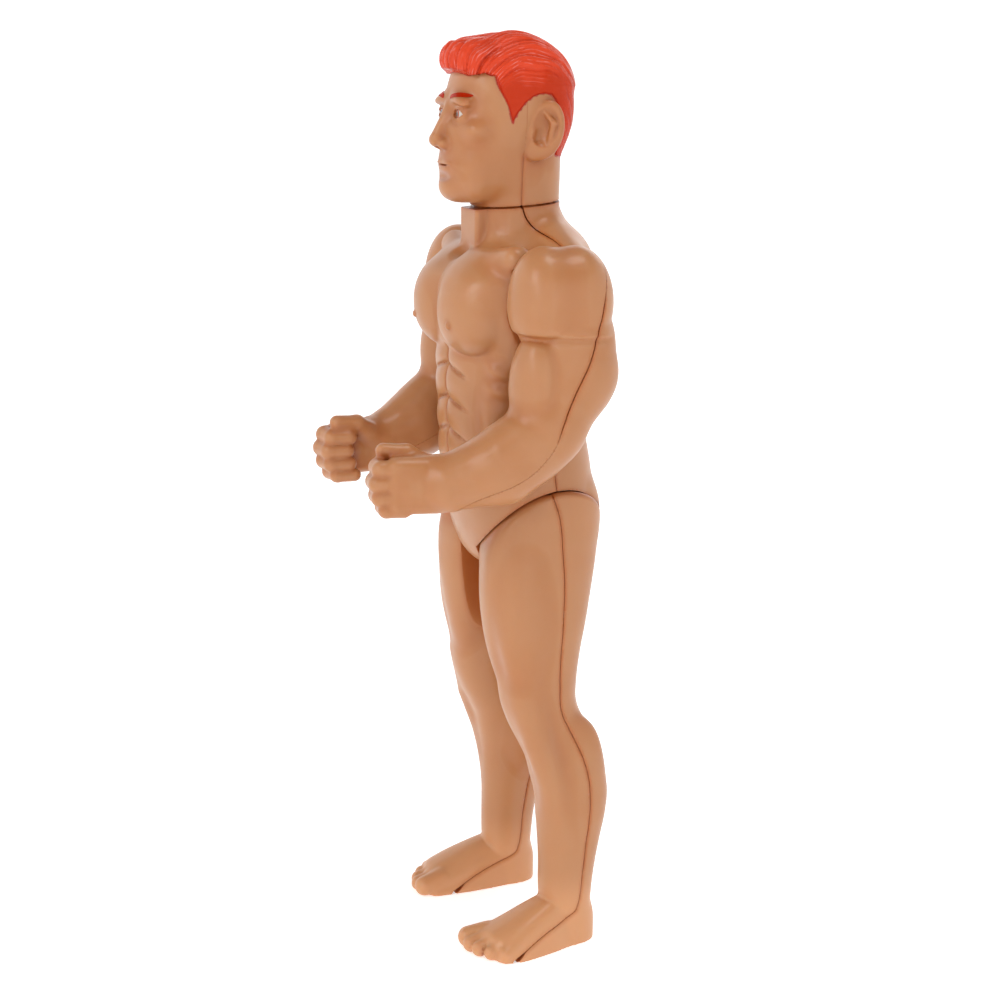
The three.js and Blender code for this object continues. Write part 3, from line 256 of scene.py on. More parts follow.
def torso_hollow(p, skin):
    x, y, z = p
    a = np.maximum(skin + F32(1.5), np.maximum(abs(x) - F32(13.2), np.maximum(F32(80.5) - z, z - F32(120.3))))
    b = np.maximum(np.maximum(abs(x) - F32(2.6), abs(y - F32(3.0)) - F32(6.4)), abs(z - F32(74.5)) - F32(7.5))
    h = np.minimum(a, b)
    for cx in (-6.0, 6.0):
        r = np.sqrt((x - F32(cx)) ** 2 + (z - F32(87.9)) ** 2) - F32(1.5)
        post = np.minimum(np.maximum(r, y + F32(4.9)), np.maximum(r, F32(9.1) - y))
        h = np.maximum(h, -post)
    return h

TOES = ((10.8, -9.7, 1.75, 1.65), (12.95, -10.0, 1.38, 1.36), (15.05, -9.3, 1.32, 1.30), (17.05, -8.0, 1.26, 1.26), (18.8, -6.1, 1.30, 1.28))
def foot(p):
    x, y, z = p
    ys = [r[0] + 30 for r in FOOT]
    cx, a, top = [curve(("foot", k), ys, [r[k] for r in FOOT])(y + F32(30)) for k in (1, 2, 3)]
    u, w = x - cx, np.maximum(z, 0)
    q = (abs(u / a) ** F32(2.5) + (w / top) ** F32(1.9)) ** F32(0.45)
    rho = np.sqrt(u * u + w * w)
    d = np.where(q > 1e-3, rho * (1 - 1 / np.maximum(q, F32(1e-3))), -np.minimum(a, top))
    d = smax(d, F32(-9.0) - y + F32(0.30) * (x - F32(13.2)) * (x > 13.2), F32(1.4))
    d = smax(d, np.sqrt((x - F32(13.1)) ** 2 + (y - F32(7.4)) ** 2) - F32(4.15) + np.minimum(y - F32(7.4), 0) * F32(40), F32(1.2))
    toes = None
    for tx, ty, tr, tz in TOES:
        ax, ay = tx + (13.6 - tx) * 0.22, ty + 3.1
        t = rcone(p, (ax, ay, tz + 0.75), (tx, ty, tz), tr * 0.95, tr)
        toes = t if toes is None else smin(toes, t, 0.10)
    return smin(d, toes, 0.55)

def hip_disc(p):
    x, y, z = p
    rho = np.sqrt((y - F32(HIP[0])) ** 2 + (z - F32(HIP[1])) ** 2)
    r = F32(HIP_R) + F32(0.2) * (x - F32(THIGH_IN))
    below = abs(y - F32(HIP[0])) - r - F32(0.10) * (F32(HIP[1]) - z)
    return np.where(z > F32(HIP[1]), rho - r, below - F32(0.5) * np.maximum(F32(HIP[1] - 12) - z, 0)) * F32(0.98)

def leg(p):
    x, y, z = p
    d = column(p, LEG, "leg", 2.25)
    # the shin's outer edge, from the knee down
    shin = np.minimum(rcone(p, (12.6, 0.2, 52.0), (14.0, -0.9, 44.5), 2.5, 2.5), rcone(p, (14.0, -0.9, 44.5), (15.3, 0.9, 36.0), 2.5, 2.4))
    shin = np.minimum(shin, np.minimum(rcone(p, (15.3, 0.9, 36.0), (15.4, 3.3, 29.0), 2.4, 2.2), rcone(p, (15.4, 3.3, 29.0), (14.4, 5.8, 18.0), 2.2, 1.8)))
    d = smin(d, shin, 1.6)
    d = smin(d, ell(p, (8.9, 8.8, 30.5), (3.2, 4.4, 8.8)), 1.4)
    d = smin(d, ell(p, (14.4, 8.4, 30.5), (2.6, 4.4, 8.8)), 1.4)
    d = smin(d, ell(p, (8.6, -2.6, 58), (4.4, 3.4, 11)), 2.0)
    d = smin(d, ell(p, (13.4, -1.2, 58), (3.4, 4.2, 12.0), (0, -3, 0)), 1.8)
    # the ankle: a crease in front, smooth into the heel behind
    d = smin(d, foot(p), F32(0.45) + F32(1.5) * step(4.5, 9.5, y))
    d = smax(d, hip_disc(p), 1.2)
    return smax(d, -z, 0.30)

def leg_cuts(p):
    x, y, z = p
    rho = np.sqrt((y - F32(HIP[0])) ** 2 + (z - F32(HIP[1])) ** 2)
    return np.maximum(F32(THIGH_IN) - x, -np.maximum(rho - F32(1.45), x - F32(9.0)))

def leg_hollow(p, skin):
    x, y, z = p
    rho = np.sqrt((y - F32(HIP[0])) ** 2 + (z - F32(HIP[1])) ** 2)
    disc = (rho - (F32(HIP_R - 1.4) + F32(0.2) * (x - F32(THIGH_IN)))) * F32(0.98)
    h = np.maximum(skin + F32(1.4), np.minimum(disc, z - F32(HIP[1])))
    return np.maximum(h, np.maximum(np.maximum(F32(6.0) - x, F32(10) - z), z - F32(79)))

ELBOW, WRIST, PALM = (21.0, -1.0, 89.4), (17.2, -15.2, 81.7), (15.6, -20.4, 81.4)
def arm_limb(p):
    # the shoulder in two soft lobes, with a crisp lower edge over the upper arm
    delt = smin(ell(p, (18.7, -0.4, 109.5), (6.3, 5.5, 8.3), (0, -4, 0)), ell(p, (19.2, 4.6, 109.3), (6.4, 5.8, 8.5), (0, -4, 0)), 2.2)
    front = ell(p, (20.2, -2.2, 96.6), (4.9, 4.2, 8.6), (-3, 0, 0))
    rear = ell(p, (20.5, 4.6, 99.0), (5.3, 6.3, 8.0), (4, 0, 0))
    u = smin(rcone(p, (20.0, 2.6, 105), (21.0, 0.8, 92), 4.9, 4.9), ell(p, (19.9, 5.0, 104.0), (5.3, 5.5, 6.0)), 1.0)
    u = smin(u, rcone(p, (20.7, 5.0, 98.0), (21.0, 0.5, 90.4), 5.2, 5.2), 0.8)
    u = smin(smin(u, rear, 1.6), front, 0.6)
    f = rcone(p, ELBOW, (19.2, -7.6, 84.1), 5.5, 5.75)
    f = smin(f, rcone(p, (19.2, -7.6, 84.1), WRIST, 5.75, 4.5), 1.5)
    f = smin(f, ell(p, (20.2, -3.8, 86.8), (5.2, 7.4, 5.7), (22, 0, -10)), 1.6)
    d = smin(smin(u, f, 1.6), delt, 0.25)
    x, y, z = p
    edge = z - F32(104.4) + F32(0.03) * (y - F32(1))
    return d - F32(0.30) * step(-0.25, 0.30, edge) * step(7.0, 1.0, edge) * step(9.5, 7.0, y) + F32(0.16) * np.exp(-((edge + F32(0.45)) / F32(0.6)) ** 2) * step(9.5, 7.0, y)

def hand(p):
    h = rbox(p, PALM, (2.1, 4.6, 4.5), 1.7, (0, 0, -10))
    h = smin(h, rcone(p, WRIST, PALM, 3.9, 3.0), 1.8)
    X, Y, Z = PALM
    for i, (kz, ky, r) in enumerate(((2.7, -4.2, 1.4), (0.5, -4.7, 1.45), (-1.7, -4.3, 1.4), (-3.7, -3.4, 1.25))):
        a = (X, Y - 2.6 + 0.2 * i, Z + kz)
        b = (X - 0.8, Y + ky - 1.1, Z + kz - 0.1)
        c = (X - 3.7, Y + ky - 0.7, Z + kz - 0.2)
        e = (X - 4.3, Y + ky + 2.1, Z + kz - 0.2)
        f = smin(rcone(p, a, b, r * 1.1, r), smin(rcone(p, b, c, r, r * 0.97), rcone(p, c, e, r * 0.97, r * 0.9), 0.3), 0.3)
        h = smin(h, f, 0.35)
    t = smin(rcone(p, (X - 1.2, Y + 2.6, Z + 2.2), (X - 3.0, Y - .4, Z + 4.4), 1.9, 1.5), rcone(p, (X - 3.0, Y - .4, Z + 4.4), (X - 3.6, Y - 4.0, Z + 5.0), 1.5, 1.2), 0.5)
    return smin(h, t, 0.9)

def arm(p):
    return smin(arm_limb(p), hand(p), 1.0)

def arm_cuts(p):
    x, y, z = p
    inner = np.maximum(np.maximum(F32(96) - z, F32(-9) - y), x - F32(ARM_IN))
    cut = -inner
    return np.maximum(cut, -np.maximum(np.sqrt((y - F32(SHOULDER[0])) ** 2 + (z - F32(SHOULDER[1])) ** 2) - F32(1.45), x - F32(20)))

def arm_hollow(p, skin):
    x, y, z = p
    h = np.maximum(arm_limb(p) + F32(1.4), F32(ARM_IN + 1.6) - x)
    return np.maximum(h, F32(-12.5) - y)

# ---- head
def skull(p):
    x, y, z = p
    m = (abs(x), y, z)
    d = sell(p, (0, 1.3, 138.4), (8.9, 10.0, 10.3), 2.3)
    d = smin(d, ell(p, (0, -2.0, 133.4), (7.7, 8.0, 9.0)), 2.5)
    d = smin(d, rbox(p, (0, -2.9, 127.8), (6.7, 6.4, 4.6), 3.8), 2.4)
    d = smin(d, ell(p, (0, -8.0, 125.6), (3.3, 2.4, 2.2)), 1.6)
    neck = column(p, [(116, 0, 7.2, -4.6, 9.1), (124, 0, 7.2, -4.6, 9.2), (130, 0, 7.3, -4.5, 9.3), (136, 0, 7.2, -4, 9.2), (137, 0, 6.5, -3.6, 8.8)], "neck", 2.2)
    return smin(d, neck + np.maximum(z - F32(134), 0) * F32(0.5), 1.2)

EYE = (3.45, -7.25, 137.0)
def eye_opening(m):
    """Almond between the lids, negative inside."""
    u = (m[0] - F32(EYE[0])) / F32(1.75)
    v = m[2] - F32(EYE[2]) - F32(0.10) * u
    top = F32(0.86) * (1 - np.clip(abs(u), 0, 1.3) ** 2.2) - F32(0.04)
    low = F32(-0.62) * (1 - np.clip(abs(u), 0, 1.3) ** 2.4) + F32(0.04)
    return np.maximum(np.maximum(v - top, low - v) * F32(0.85), abs(m[0] - F32(EYE[0])) - F32(1.75))

def eyeball(m):
    return ell(m, EYE, (2.15, 1.75, 1.75))

def ear(m):
    c, rot = (8.8, 3.7, 134.7), (-12, 0, -24)
    q = tuple(v / F32(1.16) for v in local(m, c, rot))
    d = ell(q, (0, 0, 0), (0.95, 2.55, 4.0))
    d = smin(d, ell(q, (-0.15, -0.9, -2.9), (0.85, 1.5, 1.5)), 0.8)            # lobe
    d = smax(d, -ell(q, (0.95, 0.05, 0.55), (0.95, 1.80, 2.8)), 0.28)          # inside the rim
    d = smin(d, rcone(q, (0.25, 1.0, -1.6), (0.45, 0.9, 1.1), 0.42, 0.40), 0.4)  # inner fold
    d = smin(d, rcone(q, (0.45, 0.9, 1.1), (0.3, -0.4, 2.2), 0.40, 0.28), 0.4)
    d = smax(d, -ell(q, (0.75, -0.55, -0.75), (0.95, 0.85, 1.25)), 0.30)       # hollow at the canal
    return smin(d, ell(q, (0.35, -1.75, -0.6), (0.5, 0.55, 0.8)), 0.4) * F32(1.16)  # the small flap in front of it

def bare_head(p):
    x, y, z = p
    m = (abs(x), y, z)
    d = skull(p)
    d = smin(d, ell(m, (3.3, -8.0, 139.2), (3.2, 1.5, 0.95), (0, 10, -8)), 1.1)          # brow
    d = smax(d, -ell(m, (3.5, -10.4, 137.0), (2.3, 2.0, 1.35)), 1.2)                     # eye socket
    d = smin(d, ell(m, (5.4, -6.3, 134.6), (2.3, 2.0, 1.5), (0, 0, -20)), 1.6)           # cheek
    n = rcone(p, (0, -8.6, 138.4), (0, -11.1, 133.2), 0.75, 1.05)
    n = smin(n, ell(p, (0, -11.0, 132.9), (1.2, 1.2, 1.0)), 0.5)
    n = smin(n, ell(m, (1.2, -10.1, 132.4), (0.95, 1.25, 0.85)), 0.45)
    d = smin(d, n, 0.9)
    d = smax(d, -ell(m, (0.62, -10.9, 131.75), (0.36, 0.7, 0.4)), 0.2)
    # eyelids
    lid = np.maximum(eyeball(m) - F32(0.32), -(eyeball(m) + F32(0.6)))
    lid = np.maximum(lid, abs(m[0] - F32(EYE[0])) - F32(2.1))
    d = smin(d, lid, 0.35)
    d = smax(d, -np.maximum(np.maximum(eye_opening(m), y + F32(7.4)), -F32(30) - y), 0.10)
    # mouth
    d = smin(d, ell(p, (0, -8.2, 129.2), (3.7, 1.8, 2.3)), 1.0)
    d = smin(d, ell(m, (0.9, -9.30, 129.70), (2.0, 0.85, 0.46), (0, 10, -10)), 0.35)
    d = smin(d, ell(p, (0, -9.30, 128.50), (2.3, 0.90, 0.52)), 0.40)
    d = smax(d, -ell(p, (0, -10.25, 129.12), (2.8, 0.80, 0.12)), 0.16)
    return smax(d, -ell(p, (0, -10.3, 127.3), (2.3, 0.75, 0.5)), 0.7)

def head(p):
    return smin(bare_head(p), ear((abs(p[0]), p[1], p[2])), 0.35)

HAIR = [(-20, 143.4), (-9.4, 143.9), (-8.2, 143.6), (-7.3, 143.0), (-5.4, 143.4), (-4.1, 142.9), (-3.6, 141.0), (-2.5, 138.6), (-1.7, 135.8), (-0.9, 137.3), (0.4, 138.9), (1.8, 139.9), (3.2, 140.3),
        (4.9, 140.1), (6.0, 138.6), (6.6, 136.0), (6.4, 133.2), (6.6, 130.6), (8.2, 130.2), (20, 130.2), (20, 165), (-20, 165)]
def combed(p):
    """Runs across the combed lines: swept forward and down from the crown over the brow, and back down the nape."""
    x, y, z = p
    zz = z - F32(132.0) + F32(0.045) * (y - F32(1.5)) ** 2
    fan = np.arctan2(x, zz)
    lean = F32(0.55) * (F32(1) - step(-6.0, 3.0, y)) * np.sign(x) * step(0.0, 3.0, abs(x))
    c = F32(9.5) * fan + lean * (y + F32(2.0)) * F32(0.5)
    return c + F32(0.22) * np.sin(F32(0.42) * y + F32(0.33) * z + F32(0.9)) + F32(0.05) * np.sin(F32(1.1) * y - F32(0.5) * z + F32(0.6) * x)

def ridged(p):
    """How strongly the combed lines show: strong on top and in front, faint on the sides and the nape."""
    x, y, z = p
    side = step(141.0, 144.6, z - F32(0.12) * y + F32(0.5) * np.sin(F32(0.9) * y) + F32(0.3) * np.sin(F32(2.3) * y + F32(1.0)))
    rear = step(6.4, 8.6, y)
    return np.maximum(side, F32(0.20) * rear)

def strands(p):
    """Locks: broad rounded bands, each split by finer lines, that start and stop along their length."""
    x, y, z = p
    c = combed(p)
    along = y + F32(0.4) * z
    broad = np.abs(np.sin(F32(math.pi) * c / F32(1.45))) ** F32(0.7)
    lift = F32(0.5) + F32(0.5) * np.sin(F32(0.62) * along + F32(2.0) * np.sin(F32(0.9) * c))
    fine = np.abs(np.sin(F32(math.pi) * c / F32(0.58) + F32(0.8) * np.sin(F32(0.45) * along)))
    r = F32(0.66) * broad * (F32(0.35) + F32(0.65) * lift) + F32(0.24) * fine * (F32(0.4) + F32(0.6) * broad) - F32(0.75)
    return r * (F32(0.03) + F32(0.56) * ridged(p))

def hair(p):
    x, y, z = p
    skin = bare_head(p) - F32(0.13) - F32(0.19) * step(139.5, 142.5, z)
    v = sell(p, (0, 1.1, 139.1), (9.65, 10.85, 10.70), 2.2)
    v = smin(v, ell(p, (0, -5.6, 145.0), (6.6, 4.5, 3.9), (-12, 0, 0)), 1.5)
    d = smin(v, skin, 0.5)
    d = np.maximum(d, skin - F32(1.35) * step(139.5, 145.0, z) - F32(1.6) * step(142.8, 145.0, z) * step(-2.0, -7.0, y))
    edge = polygon(y, z, HAIR)
    d = d - strands(p).astype(F32)
    d = smax(d, edge, 0.30)
    return smax(d, -(ear((abs(x), y, z)) - F32(0.06)), 0.12)

def head_cuts(p):
    x, y, z = p
    cut = (F32(NECK_Z) + F32(NECK_SLOPE) * y - z) * F32(0.997)
    t = F32(math.atan(NECK_SLOPE)); cy, cz = y - F32(1.2), z - F32(124.29)
    return np.maximum(cut, -np.maximum(np.sqrt(x * x + (cy * np.cos(t) + cz * np.sin(t)) ** 2) - F32(3.35), z - F32(127.6)))

def head_hollow(p):
    x, y, z = p
    h = np.maximum(skull(p) + F32(1.9), F32(NECK_Z + 1.9) + F32(NECK_SLOPE) * y - z)
    return np.maximum(h, z - F32(146.0))

# ------------------------------------------------------------------ surface of a field
def surface(skin, cut, lo, hi, h, newton=2):
    """Quads on the border of max(skin, cut). Corners that lie on both are put exactly on the edge between them."""
    h = h * FINE
    B = 6
    lo = np.array(lo, float)
    n = [int(math.ceil((hi[k] - lo[k]) / h / B)) * B + 1 for k in range(3)]
    both = lambda p: np.maximum(skin(p), cut(p)) if cut else skin(p)
    nb = [(k - 1) // B for k in n]
    cen = [(lo[k] + (np.arange(nb[k]) + 0.5) * B * h).astype(F32) for k in range(3)]
    P = np.meshgrid(*cen, indexing="ij")
    c0 = both(tuple(q.ravel() for q in P)).reshape(nb)
    reach = B * h * math.sqrt(3) / 2 * 1.45 + 0.5 * h
    near = np.argwhere(np.abs(c0) < reach)
    full = [np.ones([k + B for k in n], F32) for _ in range(2)]
    # far blocks keep the sign of their centre
    sign = np.where(c0 < 0, F32(-9), F32(9))
    for k in range(3): sign = np.repeat(sign, B, axis=k)
    full[0][:sign.shape[0], :sign.shape[1], :sign.shape[2]] = sign
    for axis in range(3):
        i = [slice(None)] * 3; j = [slice(None)] * 3
        i[axis] = slice(n[axis] - 1, n[axis] + B); j[axis] = slice(n[axis] - 2, n[axis] - 1)
        full[0][tuple(i)] = full[0][tuple(j)]
    full[1][:] = -9
    off = np.stack(np.meshgrid(*[np.arange(B + 1)] * 3, indexing="ij"), -1).reshape(-1, 3)
    for s in range(0, len(near), 4000):
        ijk = (near[s:s + 4000, None] * B + off).reshape(-1, 3)
        p = tuple((lo[k] + ijk[:, k] * h).astype(F32) for k in range(3))
        full[0][ijk[:, 0], ijk[:, 1], ijk[:, 2]] = skin(p)
        if cut: full[1][ijk[:, 0], ijk[:, 1], ijk[:, 2]] = cut(p)
    a = full[0][:n[0], :n[1], :n[2]]; b = full[1][:n[0], :n[1], :n[2]]
    v = np.maximum(a, b) if cut else a
    s = v < 0
    corners = [(i, j, k) for i in (0, 1) for j in (0, 1) for k in (0, 1)]
    anyv = np.zeros([k - 1 for k in n], bool); allv = np.ones([k - 1 for k in n], bool)
    for i, j, k in corners:
        q = s[i:n[0] - 1 + i, j:n[1] - 1 + j, k:n[2] - 1 + k]
        anyv |= q; allv &= q
    act = np.argwhere(anyv & ~allv)
    ids = -np.ones(anyv.shape, np.int32)
    ids[act[:, 0], act[:, 1], act[:, 2]] = np.arange(len(act))
    val = np.stack([v[act[:, 0] + i, act[:, 1] + j, act[:, 2] + k] for i, j, k in corners], 1)
    pos = np.zeros((len(act), 3)); cnt = np.zeros(len(act))
    for e0 in range(8):
        for axis in range(3):
            if corners[e0][axis]: continue
            e1 = e0 + (4, 2, 1)[axis]
            va, vb = val[:, e0], val[:, e1]
            c = (va < 0) != (vb < 0)
            t = np.where(c, va / np.where(c, va - vb, 1), 0)
            cnt += c
            for k in range(3):
                pos[:, k] += np.where(c, t if k == axis else corners[e0][k], 0)
    verts = (lo + (act + pos / cnt[:, None]) * h)
    edge = np.zeros(len(act), bool)
    if cut:
        sa = np.stack([a[act[:, 0] + i, act[:, 1] + j, act[:, 2] + k] < 0 for i, j, k in corners], 1)
        sb = np.stack([b[act[:, 0] + i, act[:, 1] + j, act[:, 2] + k] < 0 for i, j, k in corners], 1)
        edge = (sa.any(1) & ~sa.all(1)) & (sb.any(1) & ~sb.all(1))
    quads = []
    for axis in range(3):
        i = [slice(None)] * 3; j = [slice(None)] * 3
        i[axis] = slice(0, -1); j[axis] = slice(1, None)
        x0, x1 = s[tuple(i)], s[tuple(j)]
        o1, o2 = [k for k in range(3) if k != axis]
        inner = [slice(None)] * 3
        inner[o1] = slice(1, -1); inner[o2] = slice(1, -1)
        for flip, mask in ((False, x0 & ~x1), (True, ~x0 & x1)):
            e = np.argwhere(mask[tuple(inner)])
            if not len(e): continue
            e[:, o1] += 1; e[:, o2] += 1
            q = []
            for (di, dj) in ((-1, -1), (0, -1), (0, 0), (-1, 0)):
                c = e.copy(); c[:, o1] += di; c[:, o2] += dj
                q.append(ids[c[:, 0], c[:, 1], c[:, 2]])
            q = np.stack(q, 1)
            if (axis == 1) != flip: q = q[:, ::-1]
            quads.append(q)
    quads = np.concatenate(quads)
    quads = quads[(quads >= 0).all(1)]
    def pull(f, rows, most):
        if not len(rows): return
        P = verts[rows]; e = 0.04
        f0 = f(tuple(P[:, k].astype(F32) for k in range(3))).astype(float)
        g = np.stack([(f(tuple((P[:, k] + (e if k == q else 0)).astype(F32) for k in range(3))) - f0) / e for q in range(3)], 1)
        gg = (g * g).sum(1)
        d = g * (f0 / np.maximum(gg, 0.08))[:, None]
        ln = np.linalg.norm(d, axis=1, keepdims=True)
        verts[rows] = P - d * np.minimum(1, most * h / np.maximum(ln, 1e-9))
    plain = np.nonzero(~edge)[0]; sharp = np.nonzero(edge)[0]
    for _ in range(newton): pull(both, plain, 0.5)
    for _ in range(4):
        pull(skin, sharp, 0.6)
        if cut: pull(cut, sharp, 0.6)
    return verts, quads

def shading(skin, verts, quads):
    """How open each point is, from the field around it: 1 on a bulge, less in a crease. The materials paint shade into
    creases by it.
    """
    n = np.zeros_like(verts)
    c = np.cross(verts[quads[:, 2]] - verts[quads[:, 0]], verts[quads[:, 3]] - verts[quads[:, 1]])
    for k in range(4): np.add.at(n, quads[:, k], c)
    n /= np.maximum(np.linalg.norm(n, axis=1, keepdims=True), 1e-9)
    out = np.zeros(len(verts))
    q = verts + n * 0.12
    slope = np.clip(skin(tuple(q[:, k].astype(F32) for k in range(3))) / 0.12, 0.4, 1.0)
    slope = 1 + (slope - 1) * step(17.0, 10.0, verts[:, 2])
    for t, w in ((0.5, 0.35), (1.2, 0.35), (2.6, 0.30)):
        q = verts + n * t
        out += w * np.clip(skin(tuple(q[:, k].astype(F32) for k in range(3))) / t / slope, 0, 1.2)
    return out

def near(verts, f, width):
    """1 on the zero line of a field, falling off over width."""
    return np.exp(-(f(tuple(verts[:, k].astype(F32) for k in range(3))).astype(float) / width) ** 2)

def paint_edge(verts):
    """How far the sprayed hair colour reaches over the skin: 1 under the hair, soft at its border, none on the ears."""
    p = tuple(verts[:, k].astype(F32) for k in range(3))
    inside = 1 - step(-0.10, 0.34, polygon(p[1], p[2], HAIR) + 0.10 * np.sin(5.0 * p[1] + 3.1 * p[2]))
    return inside * step(-0.05, 0.30, ear((abs(p[0]), p[1], p[2])))

def make(name, verts, quads, body, material, nodes=(), values=None, mirror=False, sharp=50):
    v = verts.copy()
    q = quads
    if mirror:
        v[:, 0] *= -1; q = q[:, ::-1]
    v[:, 1] += SHIFT_Y
    v *= MM
    me = bpy.data.meshes.new(name)
    me.vertices.add(len(v)); me.vertices.foreach_set("co", v.astype(F32).ravel())
    me.loops.add(q.size); me.loops.foreach_set("vertex_index", q.astype(np.int32).ravel())
    me.polygons.add(len(q)); me.polygons.foreach_set("loop_start", np.arange(0, q.size, 4, dtype=np.int32))
    me.update(calc_edges=True)
    me.validate(verbose=False)
    me.polygons.foreach_set("use_smooth", np.ones(len(me.polygons), bool))
    if sharp: me.set_sharp_from_angle(angle=math.radians(sharp))
    for key, value in (values or {}).items():
        if len(value) != len(me.vertices): continue
        at = me.attributes.new(key, "FLOAT", "POINT")
        at.data.foreach_set("value", np.asarray(value, F32))
    me.materials.append(material)
    ob = bpy.data.objects.new(name, me)
    bpy.context.scene.collection.objects.link(ob)
    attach(ob, body)
    if nodes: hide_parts(*nodes)
    return ob

# ------------------------------------------------------------------ materials
class Tree:
    def __init__(self, name):
        self.m = bpy.data.materials.new(name); self.m.use_nodes = True
        self.t = self.m.node_tree; self.t.nodes.clear()
        self.out = self.t.nodes.new("ShaderNodeOutputMaterial")
        self.b = self.t.nodes.new("ShaderNodeBsdfPrincipled")
        self.t.links.new(self.b.outputs[0], self.out.inputs[0])
        self.coord = self.t.nodes.new("ShaderNodeTexCoord").outputs["Object"]
    def set(self, **k):
        for n, v in k.items(): self.b.inputs[n.replace("_", " ")].default_value = v
    def link(self, a, b): self.t.links.new(a, b)
    def noise(self, scale, detail=3, rough=0.5, vector=None, distortion=0.0):
        n = self.t.nodes.new("ShaderNodeTexNoise")
        n.inputs["Scale"].default_value = scale; n.inputs["Detail"].default_value = detail
        n.inputs["Roughness"].default_value = rough; n.inputs["Distortion"].default_value = distortion
        self.link(vector or self.coord, n.inputs["Vector"])
        return n.outputs["Fac"]
    def ramp(self, fac, stops):
        n = self.t.nodes.new("ShaderNodeValToRGB")
        el = n.color_ramp.elements
        while len(el) < len(stops): el.new(0.5)
        for e, (at, c) in zip(el, stops):
            e.position = at; e.color = (*c, 1) if len(c) == 3 else c
        self.link(fac, n.inputs[0])
        return n.outputs["Color"]
    def range(self, v, a, b, c, d):
        n = self.t.nodes.new("ShaderNodeMapRange")
        for k, w in zip(("From Min", "From Max", "To Min", "To Max"), (a, b, c, d)): n.inputs[k].default_value = w
        self.link(v, n.inputs["Value"])
        return n.outputs["Result"]
    def mix(self, fac, a, b, kind="MIX"):
        n = self.t.nodes.new("ShaderNodeMix"); n.data_type = "RGBA"; n.blend_type = kind
        for sock, v in ((n.inputs["Factor"], fac), (n.inputs[6], a), (n.inputs[7], b)):
            if isinstance(v, (int, float)): sock.default_value = v
            elif isinstance(v, tuple): sock.default_value = (*v, 1)
            else: self.link(v, sock)
        return n.outputs[2]
    def math(self, op, a, b=None):
        n = self.t.nodes.new("ShaderNodeMath"); n.operation = op
        for i, v in enumerate((a, b)):
            if v is None: continue
            if isinstance(v, (int, float)): n.inputs[i].default_value = v
            else: self.link(v, n.inputs[i])
        return n.outputs[0]
    def bump(self, height, strength, distance, normal=None):
        n = self.t.nodes.new("ShaderNodeBump")
        n.inputs["Strength"].default_value = strength; n.inputs["Distance"].default_value = distance
        self.link(height, n.inputs["Height"])
        if normal is not None: self.link(normal, n.inputs["Normal"])
        return n.outputs["Normal"]
    def attr(self, name):
        n = self.t.nodes.new("ShaderNodeAttribute"); n.attribute_name = name
        return n.outputs["Fac"]

# the hair red in steps from painted shade in deep creases to painted light on bulges; the second step is also the
# sprayed colour on the skin
HAIR_RED = ((0.22, 0.007, 0.001), (0.34, 0.014, 0.001), (0.39, 0.017, 0.002), (0.47, 0.034, 0.008))
def skin_plastic():
    """Soft moulded vinyl, with painted shade and light in its colour: warmer and deeper in creases and along parting
    lines (painted shade), paler on bulges and on the feet (painted light).
    """
    t = Tree("skin_plastic")
    t.set(Metallic=0.0, IOR=1.48, Subsurface_Weight=0.22, Subsurface_Radius=(1.0, 0.38, 0.16), Subsurface_Scale=0.0016,
          Specular_IOR_Level=0.34, Coat_Weight=0.20, Coat_Roughness=0.15)
    # painted shade and light: deeper, warmer colour in creases and paler colour on bulges, by how open each point is
    tone = t.ramp(t.attr("open"), [(0.22, (0.32, 0.080, 0.016)), (0.58, (0.365, 0.120, 0.037)), (0.84, (0.405, 0.155, 0.055)), (0.97, (0.430, 0.182, 0.070)), (1.0, (0.445, 0.200, 0.084))])
    tone = t.mix(t.range(t.noise(70, 2, 0.5), 0.35, 0.65, 0.0, 0.25), tone, (0.395, 0.145, 0.050))
    tone = t.mix(t.range(t.noise(430, 3, 0.6), 0.45, 0.75, 0.0, 0.12), tone, (0.45, 0.205, 0.092))
    tone = t.mix(t.range(t.noise(2600, 2, 0.6), 0.62, 0.80, 0.0, 0.12), tone, (0.31, 0.100, 0.030))
    # painted light: the feet, which catch light from above, are painted paler
    tone = t.mix(t.math("MULTIPLY", t.attr("pale"), 0.85), tone, (0.60, 0.285, 0.130))
    # painted shade: orange brown along parting lines, cut edges and the crease at the top of the leg, where the grooves
    # fall into shade
    tone = t.mix(t.math("MULTIPLY", t.attr("line"), 0.66), tone, (0.40, 0.098, 0.014))
    edge = t.math("ADD", t.attr("paint"), t.math("MULTIPLY", t.math("SUBTRACT", t.noise(2300, 3, 0.6), 0.5), 0.5))
    tone = t.mix(t.math("MULTIPLY", t.range(edge, 0.25, 0.8, 0.0, 1.0), t.range(t.attr("paint"), 0.02, 0.1, 0.0, 1.0)), tone, HAIR_RED[1])
    t.link(tone, t.b.inputs["Base Color"])
    t.link(t.range(t.noise(240, 3, 0.6), 0.3, 0.7, 0.34, 0.45), t.b.inputs["Roughness"])
    fine = t.bump(t.noise(5200, 2, 0.55), 0.10, 0.00005)
    t.link(t.bump(t.noise(190, 2, 0.5), 0.08, 0.0004, fine), t.b.inputs["Normal"])
    return t.m

